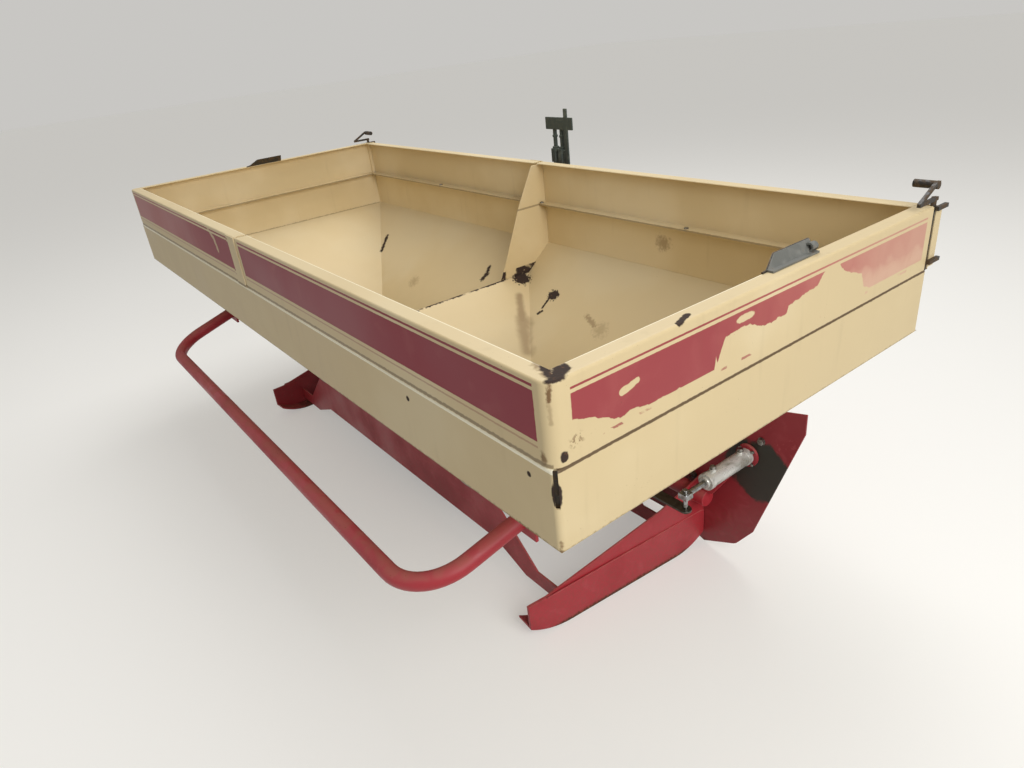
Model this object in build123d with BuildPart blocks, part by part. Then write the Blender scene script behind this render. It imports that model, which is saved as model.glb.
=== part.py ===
"""Mounted twin-disc fertilizer spreader with a low twin-funnel hopper.

The frame is right-handed, in millimetres: +Z up from the ground under the
runners, +X to the machine's right and +Y forward, towards the tractor.
The origin is on the ground, under the middle of the hopper.
"""
import os
from math import radians, tan

from build123d import *

os.makedirs("parts", exist_ok=True)

# Hopper, over its sheets
HOPPER_LENGTH = 2750.0
HOPPER_WIDTH = 1145.0
RIM_Z = 1020.0
RING_HEIGHT = 149.0
BAND_HEIGHT = 154.0
SHEET = 3.0
LIP = 36.0
CORNER_R = 25.0
FOLD_R = 5.0
BAND_CORNER_R = 12.0
SEAM_GAP = 4.0
SEAM_NOTCH = 8.0
CORNER_FLANGE = 25.0
CORNER_GAP = 0.5
CORNER_SLOT_WIDTH = 8.0
CORNER_SLOT_LENGTH = 24.0
CORNER_SLOT_DEPTH = 71.0

# Funnels: the crest between them, and the outlets under them
CREST_Z = 628.0
OUTLET_X = 520.0
OUTLET_HALF = 110.0
OUTLET_Z = 345.0
SLOPE_WALL = 5.0

# Outlet plate and throat
PLATE_T = 6.0
PLATE_HALF = 125.0
THROAT_HALF = 98.0
THROAT_WALL = 4.0
THROAT_DROP = 25.0

# Seam strips and middle gussets
STRIP_WIDTH = 70.0
# A gusset's free edge, as distances in from the hopper's face and down from the rim
GUSSET_EDGE = ((55.5, 7.0), (127.5, 136.0), (212.5, 325.0), (238.5, 380.0))
GUSSET_FOOT = 6.0

# End brackets on the rim: a plate that leans over the hopper, on a folded base
BRACKET_LENGTH = 150.0
BRACKET_BASE = 14.0
BRACKET_RISE = 25.0
BRACKET_SLANT = 36.0
BRACKET_LEAN = 30.0
BRACKET_T = 4.0
BRACKET_CURL_R = 9.0

# Cranked latches at the front corners: rod, two hooks, crank and grip
LATCH_R = 6.0
LATCH_TOP_Z = 1039.0
LATCH_GAP = 0.25
HOOK_SIZE = 9.0
HOOK_REACH = 42.0
HOOK_LEVELS = (886.0, 1010.0)
CRANK_SIZE = 8.0
CRANK_REACH = 83.5
GRIP_RISE = 26.0
GRIP_R = 9.0
GRIP_LENGTH = 54.0

# Runners and side plates
RUNNER_REAR_X = 925.0
RUNNER_FRONT_X = 980.0
RUNNER_REAR_Y = -350.0
RUNNER_HEIGHT = 121.0
RUNNER_WEB = 10.0
RUNNER_SOLE = 60.0
SOLE_T = 8.0
FLAT_REAR_Y = -215.0
FLAT_FRONT_Y = 170.0
NOSE_RISE = 42.0
SIDE_T = 6.0
SIDE_EDGE = ((-300.0, 121.0), (120.0, 200.0))
SIDE_FRONT_Z = 256.0

# Cross beam that joins the runners and carries the drive
BEAM_HALF_Y = 220.0
BEAM_TOP_Z = 225.0
BEAM_LOW_Z = 85.0
BEAM_TOP_HALF_X = 640.0
BEAM_FOOT_X = 800.0
BEAM_FOOT_Z = 80.0
BEAM_FOOT_LOW_Z = 30.0
BEAM_SHEET = 6.0
BEAM_FOOT_REACH = 60.0
BEAM_TAPER = 40.0
HOUSING_CLEARANCE = 20.0
HOUSING_HEADROOM = 12.0

# Shield behind the tractor, its outer outline from the foot upwards
SHIELD_Y = 290.0
SHIELD_T = 5.0
SHIELD_FOOT = ((981.0, 4.0), (1093.0, 56.0), (1148.0, 130.0))
SHIELD_TOP = ((1277.0, 505.0), (1277.0, 562.0), (915.0, 478.0))
SHIELD_FOOT_R = 40.0
SHIELD_TOP_R = 36.0
SHIELD_LOW_Z = 45.0
SHIELD_LOW_X = 880.0
DRIVE_SLOT_HALF = 95.0
DRIVE_SLOT_TOP = 262.0

# Front cross tube
FRONT_TUBE_R = 25.0
FRONT_TUBE_Y = 250.0
FRONT_TUBE_Z = 204.0
FRONT_TUBE_HALF = 1022.0
WELD_GAP = 0.3

# Head frame that carries the hopper and the hitch
LINK_HALF_SPAN = 412.5
POST_WIDTH = 80.0
POST_INSET = 12.5
POST_DEPTH = 80.0
POST_LOW_Z = 140.0
ARM_WIDTH = 60.0
ARM_LOW_Z = 145.0
ARM_HEIGHT = 60.0
RAIL_HEIGHT = 60.0
LOW_RAIL_Z = 262.0
TOP_RAIL_Z = 560.0
RAIL_DEPTH = 60.0

# Three-point hitch, category 2: link pins point outwards from their plates
LINK_PIN_R = 14.0
LINK_PIN_LENGTH = 95.0
LINK_Z = 300.0
LINK_STANDOFF = 39.5
EAR_T = 20.0
EAR_R = 38.0
EAR_FOOT = 1.6
MAST_T = 12.0
MAST_GAP = 52.0
MAST_WEB_RISE = 40.0
MAST_WEB_HEIGHT = 110.0
HITCH_HEIGHT = 610.0
TOP_LINK_R = 12.75
MAST_STANDOFF = 53.5
MAST_HEAD_R = 34.0
MAST_FOOT_Z = 560.0

# Hose rack and its couplings
RACK_STANDOFF = 15.5
RACK_TOP_Z = 1158.0
RACK_WIDTH = 145.0
RACK_HEIGHT = 43.0
RACK_T = 6.0
RACK_POST_X = 37.0
RACK_POST_WIDTH = 17.0
RACK_POST_SUNK = 60.0
RACK_STUB = 30.0
COUPLER_R = 19.0
COUPLER_LENGTH = 48.0
COUPLER_TOP_Z = 1046.0
PIPE_R = 7.5
COUPLER_X = (-40.0, -3.0)
BLOCK_HEIGHT = 50.0

# Drive
DRIVE_Z = 140.0
GEARBOX_HALF_X = 90.0
GEARBOX_REAR_Y = -95.0
GEARBOX_FRONT_Y = 110.0
GEARBOX_LOW_Z = 78.0
END_BOX_HALF = 70.0
NECK_R = 42.0
NECK_TOP_Z = 240.0
DRIVE_TUBE_R = 30.0
HOUSING_R = 34.0
HOUSING_END_Y = 455.0
PTO_R = 17.4
PTO_STUB = 85.0
JOURNAL_R = 20.0
JOURNAL_DEPTH = 80.0
JOURNAL_STEP = 2.0
GUARD_R = 72.0
GUARD_T = 4.0
GUARD_DEPTH = 105.0
GUARD_BACK = 15.0
RUNNING_GAP = 0.05
END_PLAY = 0.3
BOX_CHAMFER = 16.0

# Spreading discs and agitators
DISC_R = 250.0
DISC_T = 4.0
DISC_Z = 262.0
DISC_HUB_R = 62.0
SPINDLE_R = 15.0
SPINDLE_DEPTH = 55.0
VANES = 6
VANE_START = 75.0
VANE_LENGTH = 166.0
VANE_LEAN = 12.0
VANE_HEIGHT = 38.0
VANE_T = 3.0
VANE_LIP = 14.0
HUB_RISE = 6.0
AGITATOR_R = 12.5
AGITATOR_TOP_Z = 440.0
FINGER_SIZE = 9.0
FINGER_LENGTH = 62.0
FINGER_LEVELS = ((372.0, 0.0), (402.0, 90.0))

# Guard bow round the discs
BOW_R = 21.5
BOW_OVERHANG = 100.5
BOW_CORNER_X = 998.0
BOW_Z = 415.0
BOW_ARM_X = 1020.0
BOW_ARM_Z = 492.0
BOW_BEND = 140.0
BOW_END_INSET = 172.5
BOW_SPARE = 30.0
HANGER_T = 8.0
HANGER_WIDTH = 90.0
HANGER_DROP = 40.0

# Shutter cylinders, outside the runners
CYLINDER_X = 1120.0
CYLINDER_Z = 380.0
BARREL_R = 22.0
BARREL_REAR_Y = 112.0
FLANGE_R = 33.0
FLANGE_T = 9.0
ROD_R = 8.0
ROD_REAR_Y = 34.0
ROD_EYE = 26.0
EYE_PIN_R = 6.0
EYE_PIN_RISE = 17.0
LUG_T = 10.0
LUG_WIDTH = 34.0

# Sliding shutters: a frame round each throat with its lever to the cylinder's rod
SHUTTER_T = 6.0
SHUTTER_HALF = 122.0
SHUTTER_GAP = 2.0
LEVER_WIDTH = 32.0

HALF_LENGTH = HOPPER_LENGTH / 2
HALF_WIDTH = HOPPER_WIDTH / 2
THROAT_OUTER_HALF = THROAT_HALF + THROAT_WALL
POST_FRONT_Y = HALF_WIDTH - POST_INSET
POST_REAR_Y = POST_FRONT_Y - POST_DEPTH
LINK_Y = HALF_WIDTH + LINK_STANDOFF
MAST_Y = HALF_WIDTH + MAST_STANDOFF
BOW_REAR_Y = -HALF_WIDTH - BOW_OVERHANG
BOW_END_Y = -HALF_WIDTH + BOW_END_INSET
RING_Z = RIM_Z - RING_HEIGHT
BAND_Z = RING_Z - BAND_HEIGHT
SIDES = (("left", -1), ("right", 1))

# Each bracket's side, and where its middle lies along the end rim
BRACKETS = (("left", -1, 13.0), ("right", 1, 67.0))

# Level run of a slope for each millimetre that it rises
CREST_RUN = (OUTLET_X - OUTLET_HALF) / (CREST_Z - OUTLET_Z)
FRONT_RUN = (HALF_WIDTH - OUTLET_HALF) / (BAND_Z - OUTLET_Z)
FUNNEL_INNER_X = (CREST_Z - BAND_Z) * CREST_RUN


def keep_side(side):
    """The half of a split across X that lies on one side."""
    return Keep.TOP if side > 0 else Keep.BOTTOM


def keep_align(side):
    """How a rectangle lies that reaches from its place towards one side."""
    return Align.MIN if side > 0 else Align.MAX


def save(part, name):
    """Label a finished piece and write it."""
    part.label = name
    export_step(part, f"parts/{name}.step")


# Face under the front slope, on which the head frame seats
FRONT_SLOPE = Plane(origin=(0, HALF_WIDTH, BAND_Z), x_dir=(1, 0, 0), z_dir=(0, 1, -FRONT_RUN))
REAR_SLOPE = Plane(origin=(0, -HALF_WIDTH, BAND_Z), x_dir=(1, 0, 0), z_dir=(0, -1, -FRONT_RUN))

# Upper ring: each side is an angle-shaped rear and end wall
LATCH_SLOT = SHEET + 2 * (LATCH_R + LATCH_GAP)
for word, side in SIDES:
    with BuildPart() as ring:
        with BuildSketch(Plane.XY.offset(RING_Z)) as outline:
            Rectangle(HOPPER_LENGTH, HOPPER_WIDTH)
            fillet(outline.vertices().group_by(Axis.Y)[0], CORNER_R)
        extrude(amount=RING_HEIGHT)
        fillet(ring.faces().sort_by(Axis.Z)[-1].edges(), FOLD_R)
        with BuildSketch(Plane.XY.offset(RING_Z + SHEET)) as hollow:
            Rectangle(HOPPER_LENGTH - 2 * SHEET, HOPPER_WIDTH - 2 * SHEET)
            fillet(hollow.vertices().group_by(Axis.Y)[0], CORNER_R - SHEET)
        extrude(amount=RING_HEIGHT - 2 * SHEET, mode=Mode.SUBTRACT)
        with BuildSketch(Plane.XY.offset(RING_Z)):
            Rectangle(HOPPER_LENGTH - 2 * LIP, HOPPER_WIDTH - 2 * LIP)
        extrude(amount=RING_HEIGHT, mode=Mode.SUBTRACT)
        # The front wall is a panel of its own, and the latch rod stands between them
        with BuildSketch(Plane.XY.offset(RING_Z)):
            with Locations((0, HALF_WIDTH)):
                Rectangle(HOPPER_LENGTH, 2 * LATCH_SLOT)
                Rectangle(HOPPER_LENGTH - 2 * LIP, 2 * (LIP + CORNER_GAP))
        extrude(amount=RING_HEIGHT, mode=Mode.SUBTRACT)
        # The rim flange stops short of the seam
        with BuildSketch(Plane.XY.offset(RIM_Z - SHEET)):
            Rectangle(2 * SEAM_NOTCH, HOPPER_WIDTH - 2 * FOLD_R)
        extrude(amount=SHEET, mode=Mode.SUBTRACT)
        split(bisect_by=Plane.YZ.offset(side * SEAM_GAP / 2), keep=keep_side(side))
    save(ring.part, f"ring_{word}")

# Front panels of the ring, with the outward flange at the corner
for word, side in SIDES:
    with BuildPart() as panel:
        with BuildSketch(Plane.YZ.offset(side * SEAM_GAP / 2)) as channel:
            with Locations((HALF_WIDTH, RING_Z)):
                Rectangle(LIP, RING_HEIGHT, align=(Align.MAX, Align.MIN))
            fillet(channel.vertices().group_by(Axis.Y)[-1], FOLD_R)
            with Locations((HALF_WIDTH - SHEET, RING_Z + SHEET)):
                Rectangle(LIP, RING_HEIGHT - 2 * SHEET, align=(Align.MAX, Align.MIN), mode=Mode.SUBTRACT)
        extrude(amount=side * (HALF_LENGTH - SEAM_GAP / 2))
        with BuildSketch(Plane.XY.offset(RING_Z)):
            with Locations((side * HALF_LENGTH, HALF_WIDTH - SHEET)):
                Rectangle(2 * (LIP + CORNER_GAP), 2 * LIP, align=(Align.CENTER, Align.MAX))
        extrude(amount=RING_HEIGHT, mode=Mode.SUBTRACT)
        with BuildSketch(Plane.XY.offset(RIM_Z - SHEET)):
            Rectangle(2 * SEAM_NOTCH, HOPPER_WIDTH - 2 * FOLD_R)
        extrude(amount=SHEET, mode=Mode.SUBTRACT)
        with BuildSketch(Plane.YZ.offset(side * HALF_LENGTH)):
            with Locations((HALF_WIDTH - SHEET, RING_Z + FOLD_R)):
                Rectangle(CORNER_FLANGE + SHEET, RING_HEIGHT - 2 * FOLD_R, align=(Align.MIN, Align.MIN))
        extrude(amount=-side * SHEET)
    save(panel.part, f"front_panel_{word}")

# Lower band, with the ledge that carries the ring
with BuildPart() as band:
    with BuildSketch(Plane.XY.offset(BAND_Z)) as outline:
        Rectangle(HOPPER_LENGTH, HOPPER_WIDTH)
        fillet(outline.vertices(), BAND_CORNER_R)
    extrude(amount=BAND_HEIGHT)
    with BuildSketch(Plane.XY.offset(BAND_Z)) as hollow:
        Rectangle(HOPPER_LENGTH - 2 * SHEET, HOPPER_WIDTH - 2 * SHEET)
        fillet(hollow.vertices(), BAND_CORNER_R - SHEET)
    extrude(amount=BAND_HEIGHT - SHEET, mode=Mode.SUBTRACT)
    with BuildSketch(Plane.XY.offset(BAND_Z)):
        Rectangle(HOPPER_LENGTH - 2 * LIP, HOPPER_WIDTH - 2 * LIP)
    extrude(amount=BAND_HEIGHT, mode=Mode.SUBTRACT)
    # The rear corners are open where the fold was relieved
    with BuildSketch(Plane.XY.offset(RING_Z - CORNER_SLOT_DEPTH)):
        for word, side in SIDES:
            with Locations((side * HALF_LENGTH, -HALF_WIDTH)):
                Rectangle(CORNER_SLOT_LENGTH, CORNER_SLOT_WIDTH, rotation=-45 * side)
    extrude(amount=CORNER_SLOT_DEPTH, mode=Mode.SUBTRACT)
save(band.part, "hopper_band")

# Funnels: four slopes each, cut where they meet at the crest
for word, side in SIDES:
    wedges = []
    for inset in (0.0, SLOPE_WALL):
        with BuildPart() as wedge:
            with BuildSketch(Plane.XZ):
                with BuildLine():
                    Polyline(
                        (side * (FUNNEL_INNER_X + inset), BAND_Z),
                        (side * (HALF_LENGTH - inset), BAND_Z),
                        (side * (OUTLET_X + OUTLET_HALF - inset), OUTLET_Z),
                        (side * (OUTLET_X - OUTLET_HALF + inset), OUTLET_Z),
                        close=True,
                    )
                make_face()
            extrude(amount=HALF_WIDTH, both=True)
            with BuildSketch(Plane.YZ):
                with BuildLine():
                    Polyline(
                        (HALF_WIDTH - inset, BAND_Z),
                        (OUTLET_HALF - inset, OUTLET_Z),
                        (-OUTLET_HALF + inset, OUTLET_Z),
                        (-HALF_WIDTH + inset, BAND_Z),
                        close=True,
                    )
                make_face()
            extrude(amount=HOPPER_LENGTH, both=True, mode=Mode.INTERSECT)
        wedges.append(wedge.part)
    with BuildPart() as funnel:
        add(wedges[0])
        add(wedges[1], mode=Mode.SUBTRACT)
        split(bisect_by=Plane.YZ, keep=keep_side(side))
    save(funnel.part, f"funnel_{word}")

# Outlet plates with the throat over each disc
for word, side in SIDES:
    with BuildPart() as outlet:
        with BuildSketch(Plane.XY.offset(OUTLET_Z - PLATE_T)):
            with Locations((side * OUTLET_X, 0)):
                Rectangle(2 * PLATE_HALF, 2 * PLATE_HALF)
                Rectangle(2 * THROAT_HALF, 2 * THROAT_HALF, mode=Mode.SUBTRACT)
        extrude(amount=PLATE_T)
        with BuildSketch(Plane.XY.offset(OUTLET_Z - PLATE_T - THROAT_DROP)):
            with Locations((side * OUTLET_X, 0)):
                Rectangle(2 * THROAT_OUTER_HALF, 2 * THROAT_OUTER_HALF)
                Rectangle(2 * THROAT_HALF, 2 * THROAT_HALF, mode=Mode.SUBTRACT)
        extrude(amount=THROAT_DROP)
    save(outlet.part, f"outlet_{word}")

# Gussets in the middle of the long walls, between the halves of the ring
CREST_TOP = CREST_Z + SLOPE_WALL / CREST_RUN
INNER_Y = HALF_WIDTH - SLOPE_WALL
CREST_END_Y = INNER_Y - (BAND_Z - CREST_TOP) * FRONT_RUN
for word, way in (("front", 1), ("rear", -1)):
    with BuildPart() as gusset:
        with BuildSketch(Plane.YZ.offset(-SEAM_GAP / 2)):
            with BuildLine():
                Polyline(
                    *[(way * (HALF_WIDTH - inset), RIM_Z - drop) for inset, drop in GUSSET_EDGE],
                    (way * (HALF_WIDTH - GUSSET_EDGE[-1][0] - GUSSET_FOOT), CREST_TOP),
                    (way * CREST_END_Y, CREST_TOP),
                    (way * INNER_Y, BAND_Z),
                    (way * (HALF_WIDTH - SHEET), BAND_Z),
                    (way * (HALF_WIDTH - SHEET), RING_Z - SHEET),
                    (way * (HALF_WIDTH - LIP), RING_Z - SHEET),
                    (way * (HALF_WIDTH - LIP), RING_Z),
                    (way * (HALF_WIDTH - SHEET), RING_Z),
                    (way * (HALF_WIDTH - SHEET), RIM_Z - GUSSET_EDGE[0][1]),
                    close=True,
                )
            make_face()
        extrude(amount=SEAM_GAP)
    save(gusset.part, f"gusset_{word}")

# Strips that cover the seams of the ring from outside
for word, way in (("front", 1), ("rear", -1)):
    with BuildPart() as strip:
        with BuildSketch(Plane.XZ.offset(-way * HALF_WIDTH)):
            with Locations((-SEAM_GAP / 2, RING_Z)):
                Rectangle(STRIP_WIDTH, RING_HEIGHT, align=(Align.MAX, Align.MIN))
        extrude(amount=-way * SHEET)
    save(strip.part, f"seam_strip_{word}")

# Folded brackets on the end rims, each slanted behind and curled in front
for word, side, middle_y in BRACKETS:
    inner_x = HALF_LENGTH - LIP
    lean = BRACKET_RISE * tan(radians(BRACKET_LEAN))
    front_y = middle_y + BRACKET_LENGTH / 2
    rear_y = front_y - BRACKET_LENGTH
    with BuildPart() as bracket:
        with BuildSketch(Plane.XZ.offset(-front_y)):
            with BuildLine():
                Polyline(
                    (side * (inner_x + BRACKET_BASE), RIM_Z),
                    (side * inner_x, RIM_Z),
                    (side * (inner_x - lean), RIM_Z + BRACKET_RISE),
                    (side * (inner_x - lean + BRACKET_T), RIM_Z + BRACKET_RISE),
                    (side * (inner_x + BRACKET_T), RIM_Z + BRACKET_T),
                    (side * (inner_x + BRACKET_BASE), RIM_Z + BRACKET_T),
                    close=True,
                )
            make_face()
        extrude(amount=BRACKET_LENGTH)
        with BuildSketch(Plane.YZ.offset(side * inner_x)):
            with BuildLine():
                Polyline(
                    (rear_y, RIM_Z + BRACKET_T),
                    (rear_y + BRACKET_SLANT, RIM_Z + BRACKET_RISE),
                    (rear_y, RIM_Z + BRACKET_RISE),
                    close=True,
                )
            make_face()
        extrude(amount=2 * BRACKET_BASE, both=True, mode=Mode.SUBTRACT)
        with BuildSketch(Plane.XZ.offset(-front_y)):
            with Locations((side * (inner_x + BRACKET_T / 2), RIM_Z + BRACKET_CURL_R + BRACKET_T)):
                Circle(BRACKET_CURL_R)
                Circle(BRACKET_CURL_R - BRACKET_T, mode=Mode.SUBTRACT)
        extrude(amount=2 * BRACKET_CURL_R)
    save(bracket.part, f"end_bracket_{word}")

# Cranked latches: a rod in the corner with two hooks over the panel's flange
ROD_X = HALF_LENGTH - LATCH_R
ROD_Y = HALF_WIDTH - SHEET - LATCH_GAP - LATCH_R
HOOK_X = HALF_LENGTH + LATCH_GAP + HOOK_SIZE / 2
CRANK_REAR_Y = HALF_WIDTH - CRANK_REACH
GRIP_Z = LATCH_TOP_Z + GRIP_RISE
for word, side in SIDES:
    with BuildPart() as latch:
        with BuildSketch(Plane.XY.offset(RING_Z)):
            with Locations((side * ROD_X, ROD_Y)):
                Circle(LATCH_R)
        extrude(amount=LATCH_TOP_Z - RING_Z)
        # Hooks: a square bar out of the rod, then forward past the flange
        for level in HOOK_LEVELS:
            with BuildSketch(Plane.XY.offset(level)):
                with Locations((side * ROD_X, ROD_Y - HOOK_SIZE / 2)):
                    Rectangle(HOOK_X - ROD_X, HOOK_SIZE, align=(keep_align(side), Align.MIN))
                with Locations((side * HOOK_X, ROD_Y - HOOK_SIZE / 2)):
                    Rectangle(HOOK_SIZE, HOOK_REACH + HOOK_SIZE / 2, align=(Align.CENTER, Align.MIN))
            extrude(amount=HOOK_SIZE)
        # Crank: back along the rim, then up and forward to the grip
        with BuildSketch(Plane.YZ.offset(side * HALF_LENGTH)):
            with BuildLine():
                Polyline(
                    (ROD_Y + CRANK_SIZE, LATCH_TOP_Z - CRANK_SIZE),
                    (CRANK_REAR_Y, LATCH_TOP_Z - CRANK_SIZE),
                    (CRANK_REAR_Y, LATCH_TOP_Z),
                    (ROD_Y - CRANK_SIZE, GRIP_Z + CRANK_SIZE),
                    (ROD_Y + CRANK_SIZE, GRIP_Z + CRANK_SIZE),
                    (CRANK_REAR_Y + 2 * CRANK_SIZE, LATCH_TOP_Z),
                    (ROD_Y + CRANK_SIZE, LATCH_TOP_Z),
                    close=True,
                )
            make_face()
        extrude(amount=-side * CRANK_SIZE)
        with BuildSketch(Plane.YZ.offset(side * HALF_LENGTH)):
            with Locations((ROD_Y, GRIP_Z)):
                Circle(GRIP_R)
        extrude(amount=-side * GRIP_LENGTH)
    save(latch.part, f"corner_latch_{word}")

# Runners with their side plates, toed out towards the front
TOE_X = (RUNNER_FRONT_X - RUNNER_REAR_X) / (SHIELD_Y - RUNNER_REAR_Y)
WEB_ACROSS = RUNNER_WEB * (1 + TOE_X**2) ** 0.5
for word, side in SIDES:
    outer = Plane(
        origin=(side * (RUNNER_REAR_X - RUNNER_REAR_Y * TOE_X), 0, 0),
        x_dir=(side * TOE_X, 1, 0),
        z_dir=(side, -TOE_X, 0),
    )
    up = 1 if outer.y_dir.Z > 0 else -1
    with BuildPart() as runner:
        with BuildSketch(outer) as web:
            with BuildLine():
                rear = (RUNNER_REAR_Y, up * NOSE_RISE)
                nose = (SHIELD_Y, up * NOSE_RISE)
                Line((FLAT_REAR_Y, 0), (FLAT_FRONT_Y, 0))
                TangentArc((FLAT_REAR_Y, 0), rear, tangent=(-1, 0))
                TangentArc((FLAT_FRONT_Y, 0), nose, tangent=(1, 0))
                Polyline(rear, (RUNNER_REAR_Y, up * RUNNER_HEIGHT), (SHIELD_Y, up * RUNNER_HEIGHT), nose)
            make_face()
        extrude(amount=-RUNNER_SOLE)
        with BuildSketch(outer.offset(-RUNNER_WEB)):
            with BuildLine():
                rear = (RUNNER_REAR_Y, up * (NOSE_RISE + SOLE_T))
                nose = (SHIELD_Y, up * (NOSE_RISE + SOLE_T))
                Line((FLAT_REAR_Y, up * SOLE_T), (FLAT_FRONT_Y, up * SOLE_T))
                TangentArc((FLAT_REAR_Y, up * SOLE_T), rear, tangent=(-1, 0))
                TangentArc((FLAT_FRONT_Y, up * SOLE_T), nose, tangent=(1, 0))
                Polyline(rear, (RUNNER_REAR_Y, up * RUNNER_HEIGHT), (SHIELD_Y, up * RUNNER_HEIGHT), nose)
            make_face()
        extrude(amount=RUNNER_WEB - RUNNER_SOLE, mode=Mode.SUBTRACT)
        with BuildSketch(outer.offset(-(RUNNER_WEB - SIDE_T) / 2)):
            with BuildLine():
                Polyline(
                    *[(y, up * z) for y, z in SIDE_EDGE],
                    (SHIELD_Y, up * SIDE_FRONT_Z),
                    (SHIELD_Y, up * RUNNER_HEIGHT),
                    close=True,
                )
            make_face()
        extrude(amount=-SIDE_T)
        with BuildSketch(Plane.YZ):
            with Locations((FRONT_TUBE_Y, FRONT_TUBE_Z)):
                Circle(FRONT_TUBE_R + WELD_GAP)
        extrude(amount=side * HALF_LENGTH, mode=Mode.SUBTRACT)
        split(bisect_by=Plane.XZ.offset(-SHIELD_Y), keep=Keep.TOP)
    save(runner.part, f"side_frame_{word}")

# Cross beam: two flared plates under a deck that carries the gearboxes
with BuildPart() as beam:
    for way in (-1, 1):
        rear_y = way * BEAM_HALF_Y - (BEAM_SHEET if way > 0 else 0)
        reach = RUNNER_REAR_X + (rear_y - RUNNER_REAR_Y) * TOE_X - WEB_ACROSS - WELD_GAP
        with BuildSketch(Plane.XZ.offset(-way * BEAM_HALF_Y)):
            with BuildLine():
                right = [
                    (BEAM_TOP_HALF_X, BEAM_TOP_Z),
                    (BEAM_FOOT_X, BEAM_FOOT_Z),
                    (reach, BEAM_FOOT_Z),
                    (reach, BEAM_FOOT_LOW_Z),
                    (BEAM_FOOT_X - BEAM_FOOT_REACH, BEAM_FOOT_LOW_Z),
                    (BEAM_TOP_HALF_X - BEAM_TAPER, BEAM_LOW_Z),
                ]
                Polyline(*right, *[(-x, z) for x, z in reversed(right)], close=True)
            make_face()
        extrude(amount=way * BEAM_SHEET)
    with BuildSketch(Plane.XY.offset(BEAM_TOP_Z - BEAM_SHEET)):
        Rectangle(2 * BEAM_TOP_HALF_X, 2 * BEAM_HALF_Y)
        with Locations((-OUTLET_X, 0), (OUTLET_X, 0)):
            Circle(NECK_R + WELD_GAP, mode=Mode.SUBTRACT)
    extrude(amount=BEAM_SHEET)
    with BuildSketch(Plane.XZ.offset(-BEAM_HALF_Y)):
        slot_height = DRIVE_Z + HOUSING_R + HOUSING_HEADROOM - BEAM_LOW_Z
        with Locations((0, BEAM_LOW_Z)):
            Rectangle(2 * (HOUSING_R + HOUSING_CLEARANCE), slot_height, align=(Align.CENTER, Align.MIN))
    extrude(amount=BEAM_SHEET, mode=Mode.SUBTRACT)
save(beam.part, "cross_beam")

# Front cross tube, closed at its ends
with BuildPart() as front_tube:
    with BuildSketch(Plane.YZ.offset(-FRONT_TUBE_HALF)):
        with Locations((FRONT_TUBE_Y, FRONT_TUBE_Z)):
            Circle(FRONT_TUBE_R)
    extrude(amount=2 * FRONT_TUBE_HALF)
save(front_tube.part, "front_tube")

# Shield between the discs and the tractor
with BuildPart() as shield:
    with BuildSketch(Plane.XZ.offset(-SHIELD_Y)) as sheet:
        with BuildLine():
            right = [(DRIVE_SLOT_HALF, SHIELD_LOW_Z), (SHIELD_LOW_X, SHIELD_LOW_Z), *SHIELD_FOOT, *SHIELD_TOP]
            Polyline(
                (DRIVE_SLOT_HALF, DRIVE_SLOT_TOP),
                *right,
                *[(-x, z) for x, z in reversed(right)],
                (-DRIVE_SLOT_HALF, DRIVE_SLOT_TOP),
                close=True,
            )
        make_face()
        foot, top = SHIELD_FOOT[1], SHIELD_TOP[1]
        fillet(sheet.vertices().filter_by(lambda v: abs(abs(v.X) - foot[0]) < 1), SHIELD_FOOT_R)
        fillet(sheet.vertices().filter_by(lambda v: abs(v.Z - top[1]) < 1), SHIELD_TOP_R)
        with Locations((-LINK_HALF_SPAN, ARM_LOW_Z), (LINK_HALF_SPAN, ARM_LOW_Z)):
            Rectangle(ARM_WIDTH, ARM_HEIGHT, align=(Align.CENTER, Align.MIN), mode=Mode.SUBTRACT)
    extrude(amount=-SHIELD_T)
save(shield.part, "front_shield")

# Head frame: posts under the front slope, rails between them, arms to the beam
with BuildPart() as head:
    with BuildSketch(Plane.XY.offset(POST_LOW_Z)):
        with Locations((-LINK_HALF_SPAN, POST_REAR_Y), (LINK_HALF_SPAN, POST_REAR_Y)):
            Rectangle(POST_WIDTH, POST_FRONT_Y - POST_REAR_Y, align=(Align.CENTER, Align.MIN))
    extrude(amount=BAND_Z - POST_LOW_Z)
    with BuildSketch(Plane.XZ.offset(-POST_FRONT_Y)):
        with Locations((0, LOW_RAIL_Z), (0, TOP_RAIL_Z)):
            Rectangle(2 * LINK_HALF_SPAN, RAIL_HEIGHT, align=(Align.CENTER, Align.MIN))
    extrude(amount=RAIL_DEPTH)
    with BuildSketch(Plane.XZ.offset(-BEAM_HALF_Y)):
        with Locations((-LINK_HALF_SPAN, ARM_LOW_Z), (LINK_HALF_SPAN, ARM_LOW_Z)):
            Rectangle(ARM_WIDTH, ARM_HEIGHT, align=(Align.CENTER, Align.MIN))
    extrude(amount=-(POST_REAR_Y - BEAM_HALF_Y))
    with BuildSketch(Plane.YZ.offset(-LINK_HALF_SPAN - POST_WIDTH)):
        with Locations((FRONT_TUBE_Y, FRONT_TUBE_Z)):
            Circle(FRONT_TUBE_R + WELD_GAP)
    extrude(amount=2 * (LINK_HALF_SPAN + POST_WIDTH), mode=Mode.SUBTRACT)
    split(bisect_by=FRONT_SLOPE, keep=Keep.TOP)
save(head.part, "head_frame")

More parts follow.
